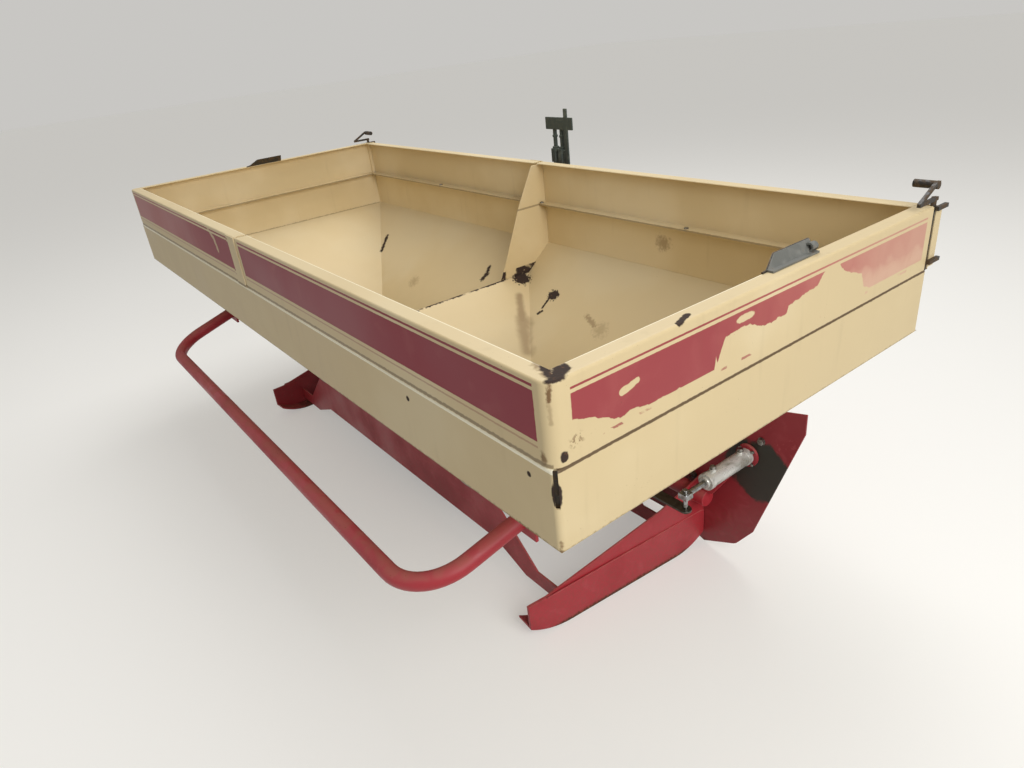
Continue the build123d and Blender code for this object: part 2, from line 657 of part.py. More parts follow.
# Lower link plates, each with its pin pointing outwards
for word, side in SIDES:
    with BuildPart() as link:
        with BuildSketch(Plane.YZ.offset(side * LINK_HALF_SPAN)):
            with BuildLine():
                Polyline(
                    (LINK_Y, LINK_Z - EAR_R),
                    (POST_FRONT_Y, LINK_Z - EAR_FOOT * EAR_R),
                    (POST_FRONT_Y, LINK_Z + EAR_FOOT * EAR_R),
                    (LINK_Y, LINK_Z + EAR_R),
                )
                ThreePointArc((LINK_Y, LINK_Z + EAR_R), (LINK_Y + EAR_R, LINK_Z), (LINK_Y, LINK_Z - EAR_R))
            make_face()
        extrude(amount=-side * EAR_T)
        with BuildSketch(Plane.YZ.offset(side * LINK_HALF_SPAN)):
            with Locations((LINK_Y, LINK_Z)):
                Circle(LINK_PIN_R)
        extrude(amount=side * LINK_PIN_LENGTH)
    save(link.part, f"lower_link_{word}")

# Top link mast: two plates from the top rail, up in front of the hopper
TOP_LINK_Z = LINK_Z + HITCH_HEIGHT
with BuildPart() as mast:
    for way in (-1, 1):
        with BuildSketch(Plane.YZ.offset(way * MAST_GAP / 2)):
            with BuildLine():
                Polyline(
                    (MAST_Y - MAST_HEAD_R, TOP_LINK_Z),
                    (HALF_WIDTH + 4 * SHEET, BAND_Z),
                    (POST_FRONT_Y, TOP_RAIL_Z + RAIL_HEIGHT),
                    (POST_FRONT_Y, MAST_FOOT_Z),
                    (MAST_Y, MAST_FOOT_Z),
                    (MAST_Y + MAST_HEAD_R, BAND_Z),
                    (MAST_Y + MAST_HEAD_R, TOP_LINK_Z),
                )
                ThreePointArc(
                    (MAST_Y - MAST_HEAD_R, TOP_LINK_Z),
                    (MAST_Y, TOP_LINK_Z + MAST_HEAD_R),
                    (MAST_Y + MAST_HEAD_R, TOP_LINK_Z),
                )
            make_face()
            with Locations((MAST_Y, TOP_LINK_Z)):
                Circle(TOP_LINK_R, mode=Mode.SUBTRACT)
        extrude(amount=way * MAST_T)
    with BuildSketch(Plane.XY.offset(MAST_FOOT_Z + MAST_WEB_RISE)):
        with Locations((0, (POST_FRONT_Y + MAST_Y) / 2)):
            Rectangle(MAST_GAP + MAST_T, MAST_T)
    extrude(amount=MAST_WEB_HEIGHT)
save(mast.part, "top_link_mast")

# Hose rack on the mast
RACK_REAR_Y = MAST_Y + MAST_HEAD_R
RACK_Y = RACK_REAR_Y + RACK_STANDOFF
with BuildPart() as rack:
    with BuildSketch(Plane.XZ.offset(-RACK_REAR_Y)):
        with Locations((0, RACK_TOP_Z)):
            Rectangle(RACK_WIDTH, RACK_HEIGHT, align=(Align.CENTER, Align.MAX))
        post_low_z = TOP_LINK_Z - RACK_POST_SUNK
        with Locations((RACK_POST_X, post_low_z)):
            Rectangle(RACK_POST_WIDTH, RACK_TOP_Z + RACK_STUB - post_low_z, align=(Align.CENTER, Align.MIN))
    extrude(amount=-RACK_T)
save(rack.part, "hose_rack")

# Two hydraulic couplings parked in the rack, on rigid pipes down to a block
with BuildPart() as couplers:
    for x in COUPLER_X:
        with BuildSketch(Plane.XY.offset(BAND_Z)):
            with Locations((x, RACK_Y)):
                Circle(PIPE_R)
        extrude(amount=RACK_TOP_Z - RACK_HEIGHT - BAND_Z)
        with BuildSketch(Plane.XY.offset(COUPLER_TOP_Z - COUPLER_LENGTH)):
            with Locations((x, RACK_Y)):
                RegularPolygon(COUPLER_R, 6)
        extrude(amount=COUPLER_LENGTH)
    with BuildSketch(Plane.XY.offset(BAND_Z - BLOCK_HEIGHT)):
        with Locations(((COUPLER_X[0] + COUPLER_X[1]) / 2, RACK_Y)):
            Rectangle(COUPLER_X[1] - COUPLER_X[0] + 3 * COUPLER_R, 2 * (RACK_Y - RACK_REAR_Y))
    extrude(amount=BLOCK_HEIGHT)
save(couplers.part, "hose_couplings")

# Centre gearbox, with the input housing that reaches forward
DECK_Z = BEAM_TOP_Z - BEAM_SHEET
with BuildPart() as gearbox:
    middle = (0, (GEARBOX_REAR_Y + GEARBOX_FRONT_Y) / 2)
    depth = GEARBOX_FRONT_Y - GEARBOX_REAR_Y
    with BuildSketch(Plane.XY.offset(GEARBOX_LOW_Z)) as outline:
        with Locations(middle):
            Rectangle(2 * GEARBOX_HALF_X, depth)
        chamfer(outline.vertices(), BOX_CHAMFER)
    extrude(amount=DECK_Z - GEARBOX_LOW_Z)
    with BuildSketch(Plane.XZ.offset(-GEARBOX_FRONT_Y)):
        with Locations((0, DRIVE_Z)):
            Circle(HOUSING_R)
    extrude(amount=-(HOUSING_END_Y - GEARBOX_FRONT_Y))
    with BuildSketch(Plane.XZ.offset(-HOUSING_END_Y)):
        with Locations((0, DRIVE_Z)):
            Circle(JOURNAL_R + RUNNING_GAP)
    extrude(amount=JOURNAL_DEPTH, mode=Mode.SUBTRACT)
save(gearbox.part, "centre_gearbox")

# Input shaft: a journal, then the stub
with BuildPart() as shaft:
    with BuildSketch(Plane.XZ.offset(-(HOUSING_END_Y - JOURNAL_DEPTH + END_PLAY))):
        with Locations((0, DRIVE_Z)):
            Circle(JOURNAL_R)
    extrude(amount=-(JOURNAL_DEPTH - END_PLAY + JOURNAL_STEP))
    with BuildSketch(Plane.XZ.offset(-HOUSING_END_Y)):
        with Locations((0, DRIVE_Z)):
            Circle(PTO_R)
    extrude(amount=-PTO_STUB)
save(shaft.part, "pto_shaft")

# Guard round the stub: a back on the housing, and a skirt
with BuildPart() as guard:
    with BuildSketch(Plane.YZ):
        with BuildLine():
            back_y = HOUSING_END_Y - GUARD_BACK
            end_y = HOUSING_END_Y + GUARD_DEPTH
            inner = DRIVE_Z + HOUSING_R
            outer = DRIVE_Z + GUARD_R
            Polyline(
                (back_y, inner),
                (back_y + GUARD_T, inner),
                (back_y + GUARD_T, outer - GUARD_T),
                (end_y, outer - GUARD_T),
                (end_y, outer),
                (back_y, outer),
                close=True,
            )
        make_face()
    revolve(axis=Axis((0, 0, DRIVE_Z), (0, 1, 0)))
save(guard.part, "pto_guard")

# Disc gearboxes and the drive tubes that join them to the middle
for word, side in SIDES:
    with BuildPart() as box:
        with BuildSketch(Plane.XY.offset(GEARBOX_LOW_Z)) as outline:
            with Locations((side * OUTLET_X, 0)):
                Rectangle(2 * END_BOX_HALF, 2 * END_BOX_HALF)
            chamfer(outline.vertices(), BOX_CHAMFER)
        extrude(amount=DECK_Z - GEARBOX_LOW_Z)
        with BuildSketch(Plane.XY.offset(DECK_Z)):
            with Locations((side * OUTLET_X, 0)):
                Circle(NECK_R)
        extrude(amount=NECK_TOP_Z - DECK_Z)
        with BuildSketch(Plane.XY.offset(NECK_TOP_Z)):
            with Locations((side * OUTLET_X, 0)):
                Circle(SPINDLE_R + RUNNING_GAP)
        extrude(amount=-SPINDLE_DEPTH, mode=Mode.SUBTRACT)
    save(box.part, f"disc_gearbox_{word}")
    with BuildPart() as tube:
        with BuildSketch(Plane.YZ.offset(side * GEARBOX_HALF_X)):
            with Locations((0, DRIVE_Z)):
                Circle(DRIVE_TUBE_R)
        extrude(amount=side * (OUTLET_X - END_BOX_HALF - GEARBOX_HALF_X))
    save(tube.part, f"drive_tube_{word}")

# Spreading discs, each with its trailing vanes, hub and spindle
HUB_TOP_Z = DISC_Z + DISC_T + HUB_RISE
for word, side in SIDES:
    with BuildPart() as disc:
        with BuildSketch(Plane.XY.offset(DISC_Z)):
            with Locations((side * OUTLET_X, 0)):
                Circle(DISC_R)
        extrude(amount=DISC_T)
        for level, width, height in (
            (DISC_Z + DISC_T, VANE_T, VANE_HEIGHT),
            (DISC_Z + DISC_T + VANE_HEIGHT - VANE_T, VANE_LIP, VANE_T),
        ):
            with BuildSketch(Plane.XY.offset(level)):
                with Locations((side * OUTLET_X, 0)):
                    with PolarLocations(VANE_START, VANES):
                        with Locations(Location((0, 0, 0), (0, 0, -side * VANE_LEAN))):
                            with Locations((0, side * width / 2)):
                                Rectangle(VANE_LENGTH, width, align=(Align.MIN, Align.CENTER))
            extrude(amount=height)
        with BuildSketch(Plane.XY.offset(DISC_Z + DISC_T)):
            with Locations((side * OUTLET_X, 0)):
                Circle(DISC_HUB_R)
        extrude(amount=HUB_RISE)
        with BuildSketch(Plane.XY.offset(NECK_TOP_Z - SPINDLE_DEPTH + END_PLAY)):
            with Locations((side * OUTLET_X, 0)):
                Circle(SPINDLE_R)
        extrude(amount=DISC_Z - NECK_TOP_Z + SPINDLE_DEPTH - END_PLAY)
    save(disc.part, f"disc_{word}")

# Agitators that turn with the discs, up through the throats
for word, side in SIDES:
    with BuildPart() as agitator:
        with BuildSketch(Plane.XY.offset(HUB_TOP_Z)):
            with Locations((side * OUTLET_X, 0)):
                Circle(AGITATOR_R)
        extrude(amount=AGITATOR_TOP_Z - HUB_TOP_Z)
        for level, turn in FINGER_LEVELS:
            with BuildSketch(Plane.XY.offset(level - FINGER_SIZE / 2)):
                with Locations((side * OUTLET_X, 0)):
                    Rectangle(2 * FINGER_LENGTH, FINGER_SIZE, rotation=turn)
            extrude(amount=FINGER_SIZE)
    save(agitator.part, f"agitator_{word}")

# Guard bow: one bent tube, with its arms cut square to the hangers
with BuildPart() as bow:
    arm_slope = (BOW_ARM_Z - BOW_Z) / (BOW_END_Y - BOW_REAR_Y)
    end_y = BOW_END_Y + BOW_SPARE
    end_z = BOW_Z + arm_slope * (end_y - BOW_REAR_Y)
    with BuildLine() as route:
        FilletPolyline(
            (-BOW_ARM_X, end_y, end_z),
            (-BOW_CORNER_X, BOW_REAR_Y, BOW_Z),
            (BOW_CORNER_X, BOW_REAR_Y, BOW_Z),
            (BOW_ARM_X, end_y, end_z),
            radius=BOW_BEND,
        )
    with BuildSketch(Plane(origin=route.line @ 0, z_dir=route.line % 0)):
        Circle(BOW_R)
    sweep()
    split(bisect_by=Plane.XZ.offset(-BOW_END_Y), keep=Keep.TOP)
save(bow.part, "guard_bow")

for word, side in SIDES:
    with BuildPart() as hanger:
        with BuildSketch(Plane.XZ.offset(-BOW_END_Y)):
            with Locations((side * BOW_ARM_X, BOW_ARM_Z - HANGER_DROP)):
                Rectangle(HANGER_WIDTH, BAND_Z - BOW_ARM_Z, align=(Align.CENTER, Align.MIN))
        extrude(amount=-HANGER_T)
        split(bisect_by=REAR_SLOPE, keep=Keep.TOP)
    save(hanger.part, f"bow_hanger_{word}")

# Sliding shutters under the outlet plates, each with its lever to the cylinder
SHUTTER_TOP_Z = OUTLET_Z - PLATE_T
for word, side in SIDES:
    with BuildPart() as shutter:
        with BuildSketch(Plane.XY.offset(SHUTTER_TOP_Z)):
            with Locations((side * CYLINDER_X, ROD_REAR_Y)):
                Circle(LEVER_WIDTH / 2)
                Rectangle(CYLINDER_X - OUTLET_X, LEVER_WIDTH, align=(keep_align(-side), Align.CENTER))
            with Locations((side * OUTLET_X, 0)):
                Rectangle(2 * SHUTTER_HALF, 2 * SHUTTER_HALF)
                opening = 2 * (THROAT_OUTER_HALF + SHUTTER_GAP)
                Rectangle(opening, opening, mode=Mode.SUBTRACT)
        extrude(amount=-SHUTTER_T)
    save(shutter.part, f"shutter_{word}")

# Shutter cylinders: a closed barrel flanged to the shield, the rod that shows with its eye, a lug
for word, side in SIDES:
    axis_x = side * CYLINDER_X
    with BuildPart() as barrel:
        with BuildSketch(Plane.XZ.offset(-BARREL_REAR_Y)):
            with Locations((axis_x, CYLINDER_Z)):
                Circle(BARREL_R)
        extrude(amount=-(SHIELD_Y - BARREL_REAR_Y - FLANGE_T))
        with BuildSketch(Plane.XZ.offset(-SHIELD_Y)):
            with Locations((axis_x, CYLINDER_Z)):
                Circle(FLANGE_R)
        extrude(amount=FLANGE_T)
    save(barrel.part, f"cylinder_{word}")
    with BuildPart() as rod:
        with BuildSketch(Plane.XZ.offset(-ROD_REAR_Y)):
            with Locations((axis_x, CYLINDER_Z)):
                Circle(ROD_R)
        extrude(amount=-(BARREL_REAR_Y - ROD_REAR_Y))
        with BuildSketch(Plane.XY.offset(CYLINDER_Z - ROD_R)):
            with Locations((axis_x, ROD_REAR_Y)):
                Rectangle(ROD_EYE, ROD_EYE)
        extrude(amount=2 * ROD_R)
        with BuildSketch(Plane.XY.offset(SHUTTER_TOP_Z)):
            with Locations((axis_x, ROD_REAR_Y)):
                Circle(EYE_PIN_R)
        extrude(amount=CYLINDER_Z + EYE_PIN_RISE - SHUTTER_TOP_Z)
    save(rod.part, f"cylinder_rod_{word}")
    with BuildPart() as lug:
        with BuildSketch(Plane.XZ.offset(-(FRONT_TUBE_Y + LUG_T / 2))):
            with BuildLine():
                Polyline(
                    (side * (FRONT_TUBE_HALF - LUG_WIDTH), FRONT_TUBE_Z),
                    (side * FRONT_TUBE_HALF, FRONT_TUBE_Z),
                    (side * (CYLINDER_X + LUG_WIDTH / 2), CYLINDER_Z),
                    (side * (CYLINDER_X - LUG_WIDTH / 2), CYLINDER_Z),
                    close=True,
                )
            make_face()
        extrude(amount=LUG_T)
        with BuildSketch(Plane.XZ):
            with Locations((axis_x, CYLINDER_Z)):
                Circle(BARREL_R + WELD_GAP)
        extrude(amount=-SHIELD_Y, mode=Mode.SUBTRACT)
        with BuildSketch(Plane.YZ):
            with Locations((FRONT_TUBE_Y, FRONT_TUBE_Z)):
                Circle(FRONT_TUBE_R + WELD_GAP)
        extrude(amount=side * HALF_LENGTH, mode=Mode.SUBTRACT)
    save(lug.part, f"cylinder_lug_{word}")
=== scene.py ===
"""Looks of a weathered mounted twin-disc fertilizer spreader.

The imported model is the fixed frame. Its sheet-metal and steel pieces are copied, given their
real edge radii and dressed in worn enamel, and the small parts that finish a real machine are
added: bolts, weld beads, splines, couplings and fittings. Everything is in metres, in the
machine's own frame: +X along the hopper, +Y to the tractor, +Z up from the ground.
"""
import logging
import math
from dataclasses import dataclass
from enum import Enum

import bmesh
import bpy
from mathutils import Matrix, Vector


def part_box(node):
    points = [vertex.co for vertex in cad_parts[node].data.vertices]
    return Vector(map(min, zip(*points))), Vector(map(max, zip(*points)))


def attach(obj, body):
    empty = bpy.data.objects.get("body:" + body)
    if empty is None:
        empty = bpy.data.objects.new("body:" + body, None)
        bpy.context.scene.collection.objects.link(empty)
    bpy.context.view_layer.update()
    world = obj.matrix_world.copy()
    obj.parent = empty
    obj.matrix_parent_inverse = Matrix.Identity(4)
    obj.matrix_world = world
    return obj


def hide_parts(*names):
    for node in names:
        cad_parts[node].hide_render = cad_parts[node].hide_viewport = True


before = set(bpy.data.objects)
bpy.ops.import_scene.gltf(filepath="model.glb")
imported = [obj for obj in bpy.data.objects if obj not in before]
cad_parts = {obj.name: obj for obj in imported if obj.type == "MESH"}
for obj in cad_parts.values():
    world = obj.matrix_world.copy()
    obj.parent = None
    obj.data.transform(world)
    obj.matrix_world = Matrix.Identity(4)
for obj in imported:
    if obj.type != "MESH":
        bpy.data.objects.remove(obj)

log = logging.getLogger("spreader")

MM = 0.001
SIDES = (("left", -1), ("right", 1))

# The hopper over its sheets, its rim's flange, and how far its outlets lie from the middle
HALF_LENGTH_MM = 1375.0
HALF_WIDTH_MM = 572.5
FLANGE_MM = 36.0
OUTLET_MM = 520.0

UP = Vector((0, 0, 1))
DOWN = Vector((0, 0, -1))
FORWARD = Vector((0, 1, 0))
REARWARD = Vector((0, -1, 0))

Socket = bpy.types.NodeSocket
Tree = bpy.types.NodeTree
Node = bpy.types.Node
Material = bpy.types.Material
Mesh = bmesh.types.BMesh
Piece = bpy.types.Object
Point = tuple[float, float, float]
Profile = list[tuple[float, float]]
Surface = tuple[Socket, Socket, Socket]


class Body(str, Enum):
    """The bodies that pieces ride on."""

    FRAME = "frame"
    SPINNER_LEFT = "spinner_left"
    SPINNER_RIGHT = "spinner_right"
    INPUT = "input_shaft"


class Slot(str, Enum):
    """The material slots of the record."""

    HOPPER = "hopper_paint"
    FRAME = "frame_paint"
    BRACKET = "dark_bracket"
    RACK = "rack_paint"
    STEEL = "bright_steel"
    STAINLESS = "stainless"
    CASTING = "gear_casting"
    CHROME = "chrome_rod"
    CYLINDER = "cylinder_paint"
    PLASTIC = "black_plastic"


def linear(hex_colour: str) -> tuple[float, float, float, float]:
    """Turn an sRGB hex colour into linear light.

    Args:
        hex_colour: Six hex digits after a hash sign.

    Returns:
        Red, green, blue and an alpha of one.
    """
    channels = [int(hex_colour[i:i + 2], 16) / 255 for i in (1, 3, 5)]
    red, green, blue = (c / 12.92 if c <= 0.04045 else ((c + 0.055) / 1.055) ** 2.4 for c in channels)
    return red, green, blue, 1.0


def add(tree: Tree, kind: str, inputs: dict[int | str, object] | None = None, **settings: object) -> Node:
    """Add one node with its settings, values and links.

    Args:
        tree: The node tree that gets the node.
        kind: The node's type name.
        inputs: For each input's name or number, a value or the socket that feeds it.
        settings: The node's own properties.

    Returns:
        The new node.
    """
    node = tree.nodes.new(kind)
    for name, value in settings.items():
        setattr(node, name, value)
    for name, value in (inputs or {}).items():
        if isinstance(value, Socket):
            tree.links.new(value, node.inputs[name])
        else:
            node.inputs[name].default_value = value
    return node


class Pattern:
    """Masks and layers in machine coordinates, from which each finish is made."""

    def __init__(self, tree: Tree) -> None:
        """Start a pattern on a material's tree.

        Args:
            tree: The material's node tree.
        """
        self.tree = tree
        coordinates = add(tree, "ShaderNodeTexCoord")
        self.place = coordinates.outputs["Object"]
        split = add(tree, "ShaderNodeSeparateXYZ", {0: self.place})
        self.x, self.y, self.z = split.outputs
        facing = add(tree, "ShaderNodeSeparateXYZ", {0: coordinates.outputs["Normal"]})
        self.up = facing.outputs["Z"]

    def grain(self, size_mm: float, detail: float, stretch: Point = (1, 1, 1), warp: float = 0.0) -> Socket:
        """Noise whose lumps have a real size.

        Args:
            size_mm: Size of the largest lumps in millimetres.
            detail: How many finer layers it has.
            stretch: How many times longer the lumps are along each axis.
            warp: How far the noise is bent by itself.

        Returns:
            A value about one half, from zero to one.
        """
        scaled = add(self.tree, "ShaderNodeVectorMath", {0: self.place, 1: stretch}, operation="DIVIDE")
        noise = add(
            self.tree, "ShaderNodeTexNoise",
            {"Vector": scaled.outputs[0], "Scale": 1 / (size_mm * MM), "Detail": detail, "Distortion": warp},
        )
        return noise.outputs["Fac"]

    def rise(
        self, value: Socket, low: float, high: float, ragged: Socket | None = None, reach: float = 0.0,
    ) -> Socket:
        """A mask that goes from zero at one value to one at another.

        Args:
            value: What is measured.
            low: Where the mask is zero.
            high: Where the mask is one.
            ragged: Noise that frays the edge.
            reach: How far the noise moves the edge, in the value's own unit.

        Returns:
            The mask.
        """
        if ragged is not None:
            centred = add(self.tree, "ShaderNodeMath", {0: ragged, 1: 0.5}, operation="SUBTRACT")
            offset = {0: centred.outputs[0], 1: 2 * reach, 2: value}
            value = add(self.tree, "ShaderNodeMath", offset, operation="MULTIPLY_ADD").outputs[0]
        ramp = add(
            self.tree, "ShaderNodeMapRange", {"Value": value, "From Min": low, "From Max": high},
            interpolation_type="SMOOTHSTEP",
        )
        return ramp.outputs["Result"]

    def span(self, value: Socket, low_mm: float, high_mm: float) -> Socket:
        """Where a coordinate lies between two places, from zero to one."""
        limits = {"Value": value, "From Min": low_mm * MM, "From Max": high_mm * MM}
        return add(self.tree, "ShaderNodeMapRange", limits).outputs["Result"]

    def chain(self, operation: str, masks: tuple[Socket, ...]) -> Socket:
        """Masks joined one after another.

        Args:
            operation: How each is joined to those before it.
            masks: Two masks or more.

        Returns:
            The joined mask.
        """
        result = masks[0]
        for mask in masks[1:]:
            result = add(self.tree, "ShaderNodeMath", {0: result, 1: mask}, operation=operation).outputs[0]
        return result

    def both(self, *masks: Socket) -> Socket:
        """The product of masks: where all of them hold."""
        return self.chain("MULTIPLY", masks)

    def either(self, *masks: Socket) -> Socket:
        """The largest of masks: where any of them holds."""
        return self.chain("MAXIMUM", masks)

    def without(self, mask: Socket, hole: Socket) -> Socket:
        """A mask with another taken out of it."""
        rest = add(self.tree, "ShaderNodeMath", {0: 1.0, 1: hole}, operation="SUBTRACT")
        return self.both(mask, rest.outputs[0])

    def share(self, mask: Socket, amount: float) -> Socket:
        """A mask at part of its strength."""
        return add(self.tree, "ShaderNodeMath", {0: mask, 1: amount}, operation="MULTIPLY").outputs[0]

    def between(
        self, value: Socket, low_mm: float, high_mm: float, soft_mm: float = 0.6,
        ragged: Socket | None = None, reach_mm: float = 0.0,
    ) -> Socket:
        """A mask for a band between two places.

        Args:
            value: A coordinate in metres.
            low_mm: Where the band starts, in millimetres.
            high_mm: Where it ends.
            soft_mm: Width of each soft edge.
            ragged: Noise that frays both edges.
            reach_mm: How far the noise moves them.

        Returns:
            The mask.
        """
        half, reach = soft_mm / 2, reach_mm * MM
        start = self.rise(value, (low_mm - half) * MM, (low_mm + half) * MM, ragged, reach)
        end = self.rise(value, (high_mm + half) * MM, (high_mm - half) * MM, ragged, reach)
        return self.both(start, end)

    def blob(self, centre: Point, radii: Point, ragged: Socket, fray: float, soft: float) -> Socket:
        """A mask for a ragged patch.

        Args:
            centre: Its middle in millimetres.
            radii: Its half-sizes in millimetres.
            ragged: Noise that frays the edge.
            fray: How far the noise moves the edge, as a share of the radius.
            soft: Width of the edge, as a share of the radius.

        Returns:
            The mask.
        """
        away = {0: self.place, 1: Vector(centre) * MM}
        moved = add(self.tree, "ShaderNodeVectorMath", away, operation="SUBTRACT")
        shares = {0: moved.outputs[0], 1: Vector(radii) * MM}
        scaled = add(self.tree, "ShaderNodeVectorMath", shares, operation="DIVIDE")
        length = add(self.tree, "ShaderNodeVectorMath", {0: scaled.outputs[0]}, operation="LENGTH")
        return self.rise(length.outputs["Value"], 1 + soft, 1 - soft, ragged, fray)

    def stroke(
        self, start: Point, end: Point, width: float, ragged: Socket, fray: float, soft: float = 0.4,
    ) -> Socket:
        """A mask for a ragged line between two points.

        Args:
            start: One end in millimetres.
            end: The other end.
            width: The line's full width.
            ragged: Noise that frays its edge.
            fray: How far the noise moves the edge, as a share of half the width.
            soft: Width of the edge, as a share of half the width.

        Returns:
            The mask.
        """
        along = (Vector(end) - Vector(start)) * MM
        away = {0: self.place, 1: Vector(start) * MM}
        moved = add(self.tree, "ShaderNodeVectorMath", away, operation="SUBTRACT")
        shares = {0: moved.outputs[0], 1: along / along.length_squared}
        dot = add(self.tree, "ShaderNodeVectorMath", shares, operation="DOT_PRODUCT")
        part = add(self.tree, "ShaderNodeClamp", {"Value": dot.outputs["Value"]})
        near = add(self.tree, "ShaderNodeVectorMath", {0: along, "Scale": part.outputs[0]}, operation="SCALE")
        ends = {0: moved.outputs[0], 1: near.outputs[0]}
        gap = add(self.tree, "ShaderNodeVectorMath", ends, operation="DISTANCE")
        half = width / 2 * MM
        return self.rise(gap.outputs["Value"], half * (1 + soft), half * (1 - soft), ragged, half * fray)

    def layer(self, base: Socket | str, top: Socket | str, mask: Socket, amount: float = 1.0) -> Socket:
        """One colour over another.

        Args:
            base: A colour socket or hex value below.
            top: A colour socket or hex value above.
            mask: Where the top colour shows.
            amount: How much of it shows there.

        Returns:
            The mixed colour.
        """
        if amount < 1.0:
            mask = self.share(mask, amount)
        low, high = (linear(c) if isinstance(c, str) else c for c in (base, top))
        mix = add(self.tree, "ShaderNodeMix", data_type="RGBA")
        colours = [s for s in mix.inputs if s.type == "RGBA"]
        for socket, value in zip(colours, (low, high)):
            if isinstance(value, Socket):
                self.tree.links.new(value, socket)
            else:
                socket.default_value = value
        self.tree.links.new(mask, mix.inputs[0])
        return mix.outputs[2]

    def blend(self, base: Socket | float, top: Socket | float, mask: Socket) -> Socket:
        """One value over another, as for roughness.

        Args:
            base: The value below.
            top: The value above.
            mask: Where the top value holds.

        Returns:
            The mixed value.
        """
        mix = add(self.tree, "ShaderNodeMix", {0: mask, 2: base, 3: top}, data_type="FLOAT")
        return mix.outputs[0]

    def relief(self, *layers: tuple[Socket, float]) -> Socket:
        """One bumped normal from heights, each with its depth.

        Args:
            layers: Pairs of a height from zero to one and its depth in millimetres.

        Returns:
            The normal.
        """
        total: Socket | float = 0.0
        for height, depth_mm in layers:
            term = {0: height, 1: depth_mm, 2: total}
            total = add(self.tree, "ShaderNodeMath", term, operation="MULTIPLY_ADD").outputs[0]
        return add(self.tree, "ShaderNodeBump", {"Height": total, "Distance": MM, "Strength": 1.0}).outputs[0]


@dataclass(frozen=True)
class Finish:
    """What every finish has: a name and the values of its surface."""

    name: str
    ior: float = 1.5
    metallic: float = 0.0

    def make(self) -> Material:
        """Build the material.

        Returns:
            The finished material.
        """
        material = bpy.data.materials.new(self.name)
        material.use_nodes = True
        tree = material.node_tree
        tree.nodes.clear()
        output = add(tree, "ShaderNodeOutputMaterial")
        shader = add(tree, "ShaderNodeBsdfPrincipled", {"IOR": self.ior, "Metallic": self.metallic})
        tree.links.new(shader.outputs[0], output.inputs[0])
        for name, value in zip(("Base Color", "Roughness", "Normal"), self.surface(Pattern(tree))):
            tree.links.new(value, shader.inputs[name])
        return material

    def surface(self, p: Pattern) -> Surface:
        """Colour, roughness and normal of the finish; each finish has its own."""
        raise NotImplementedError


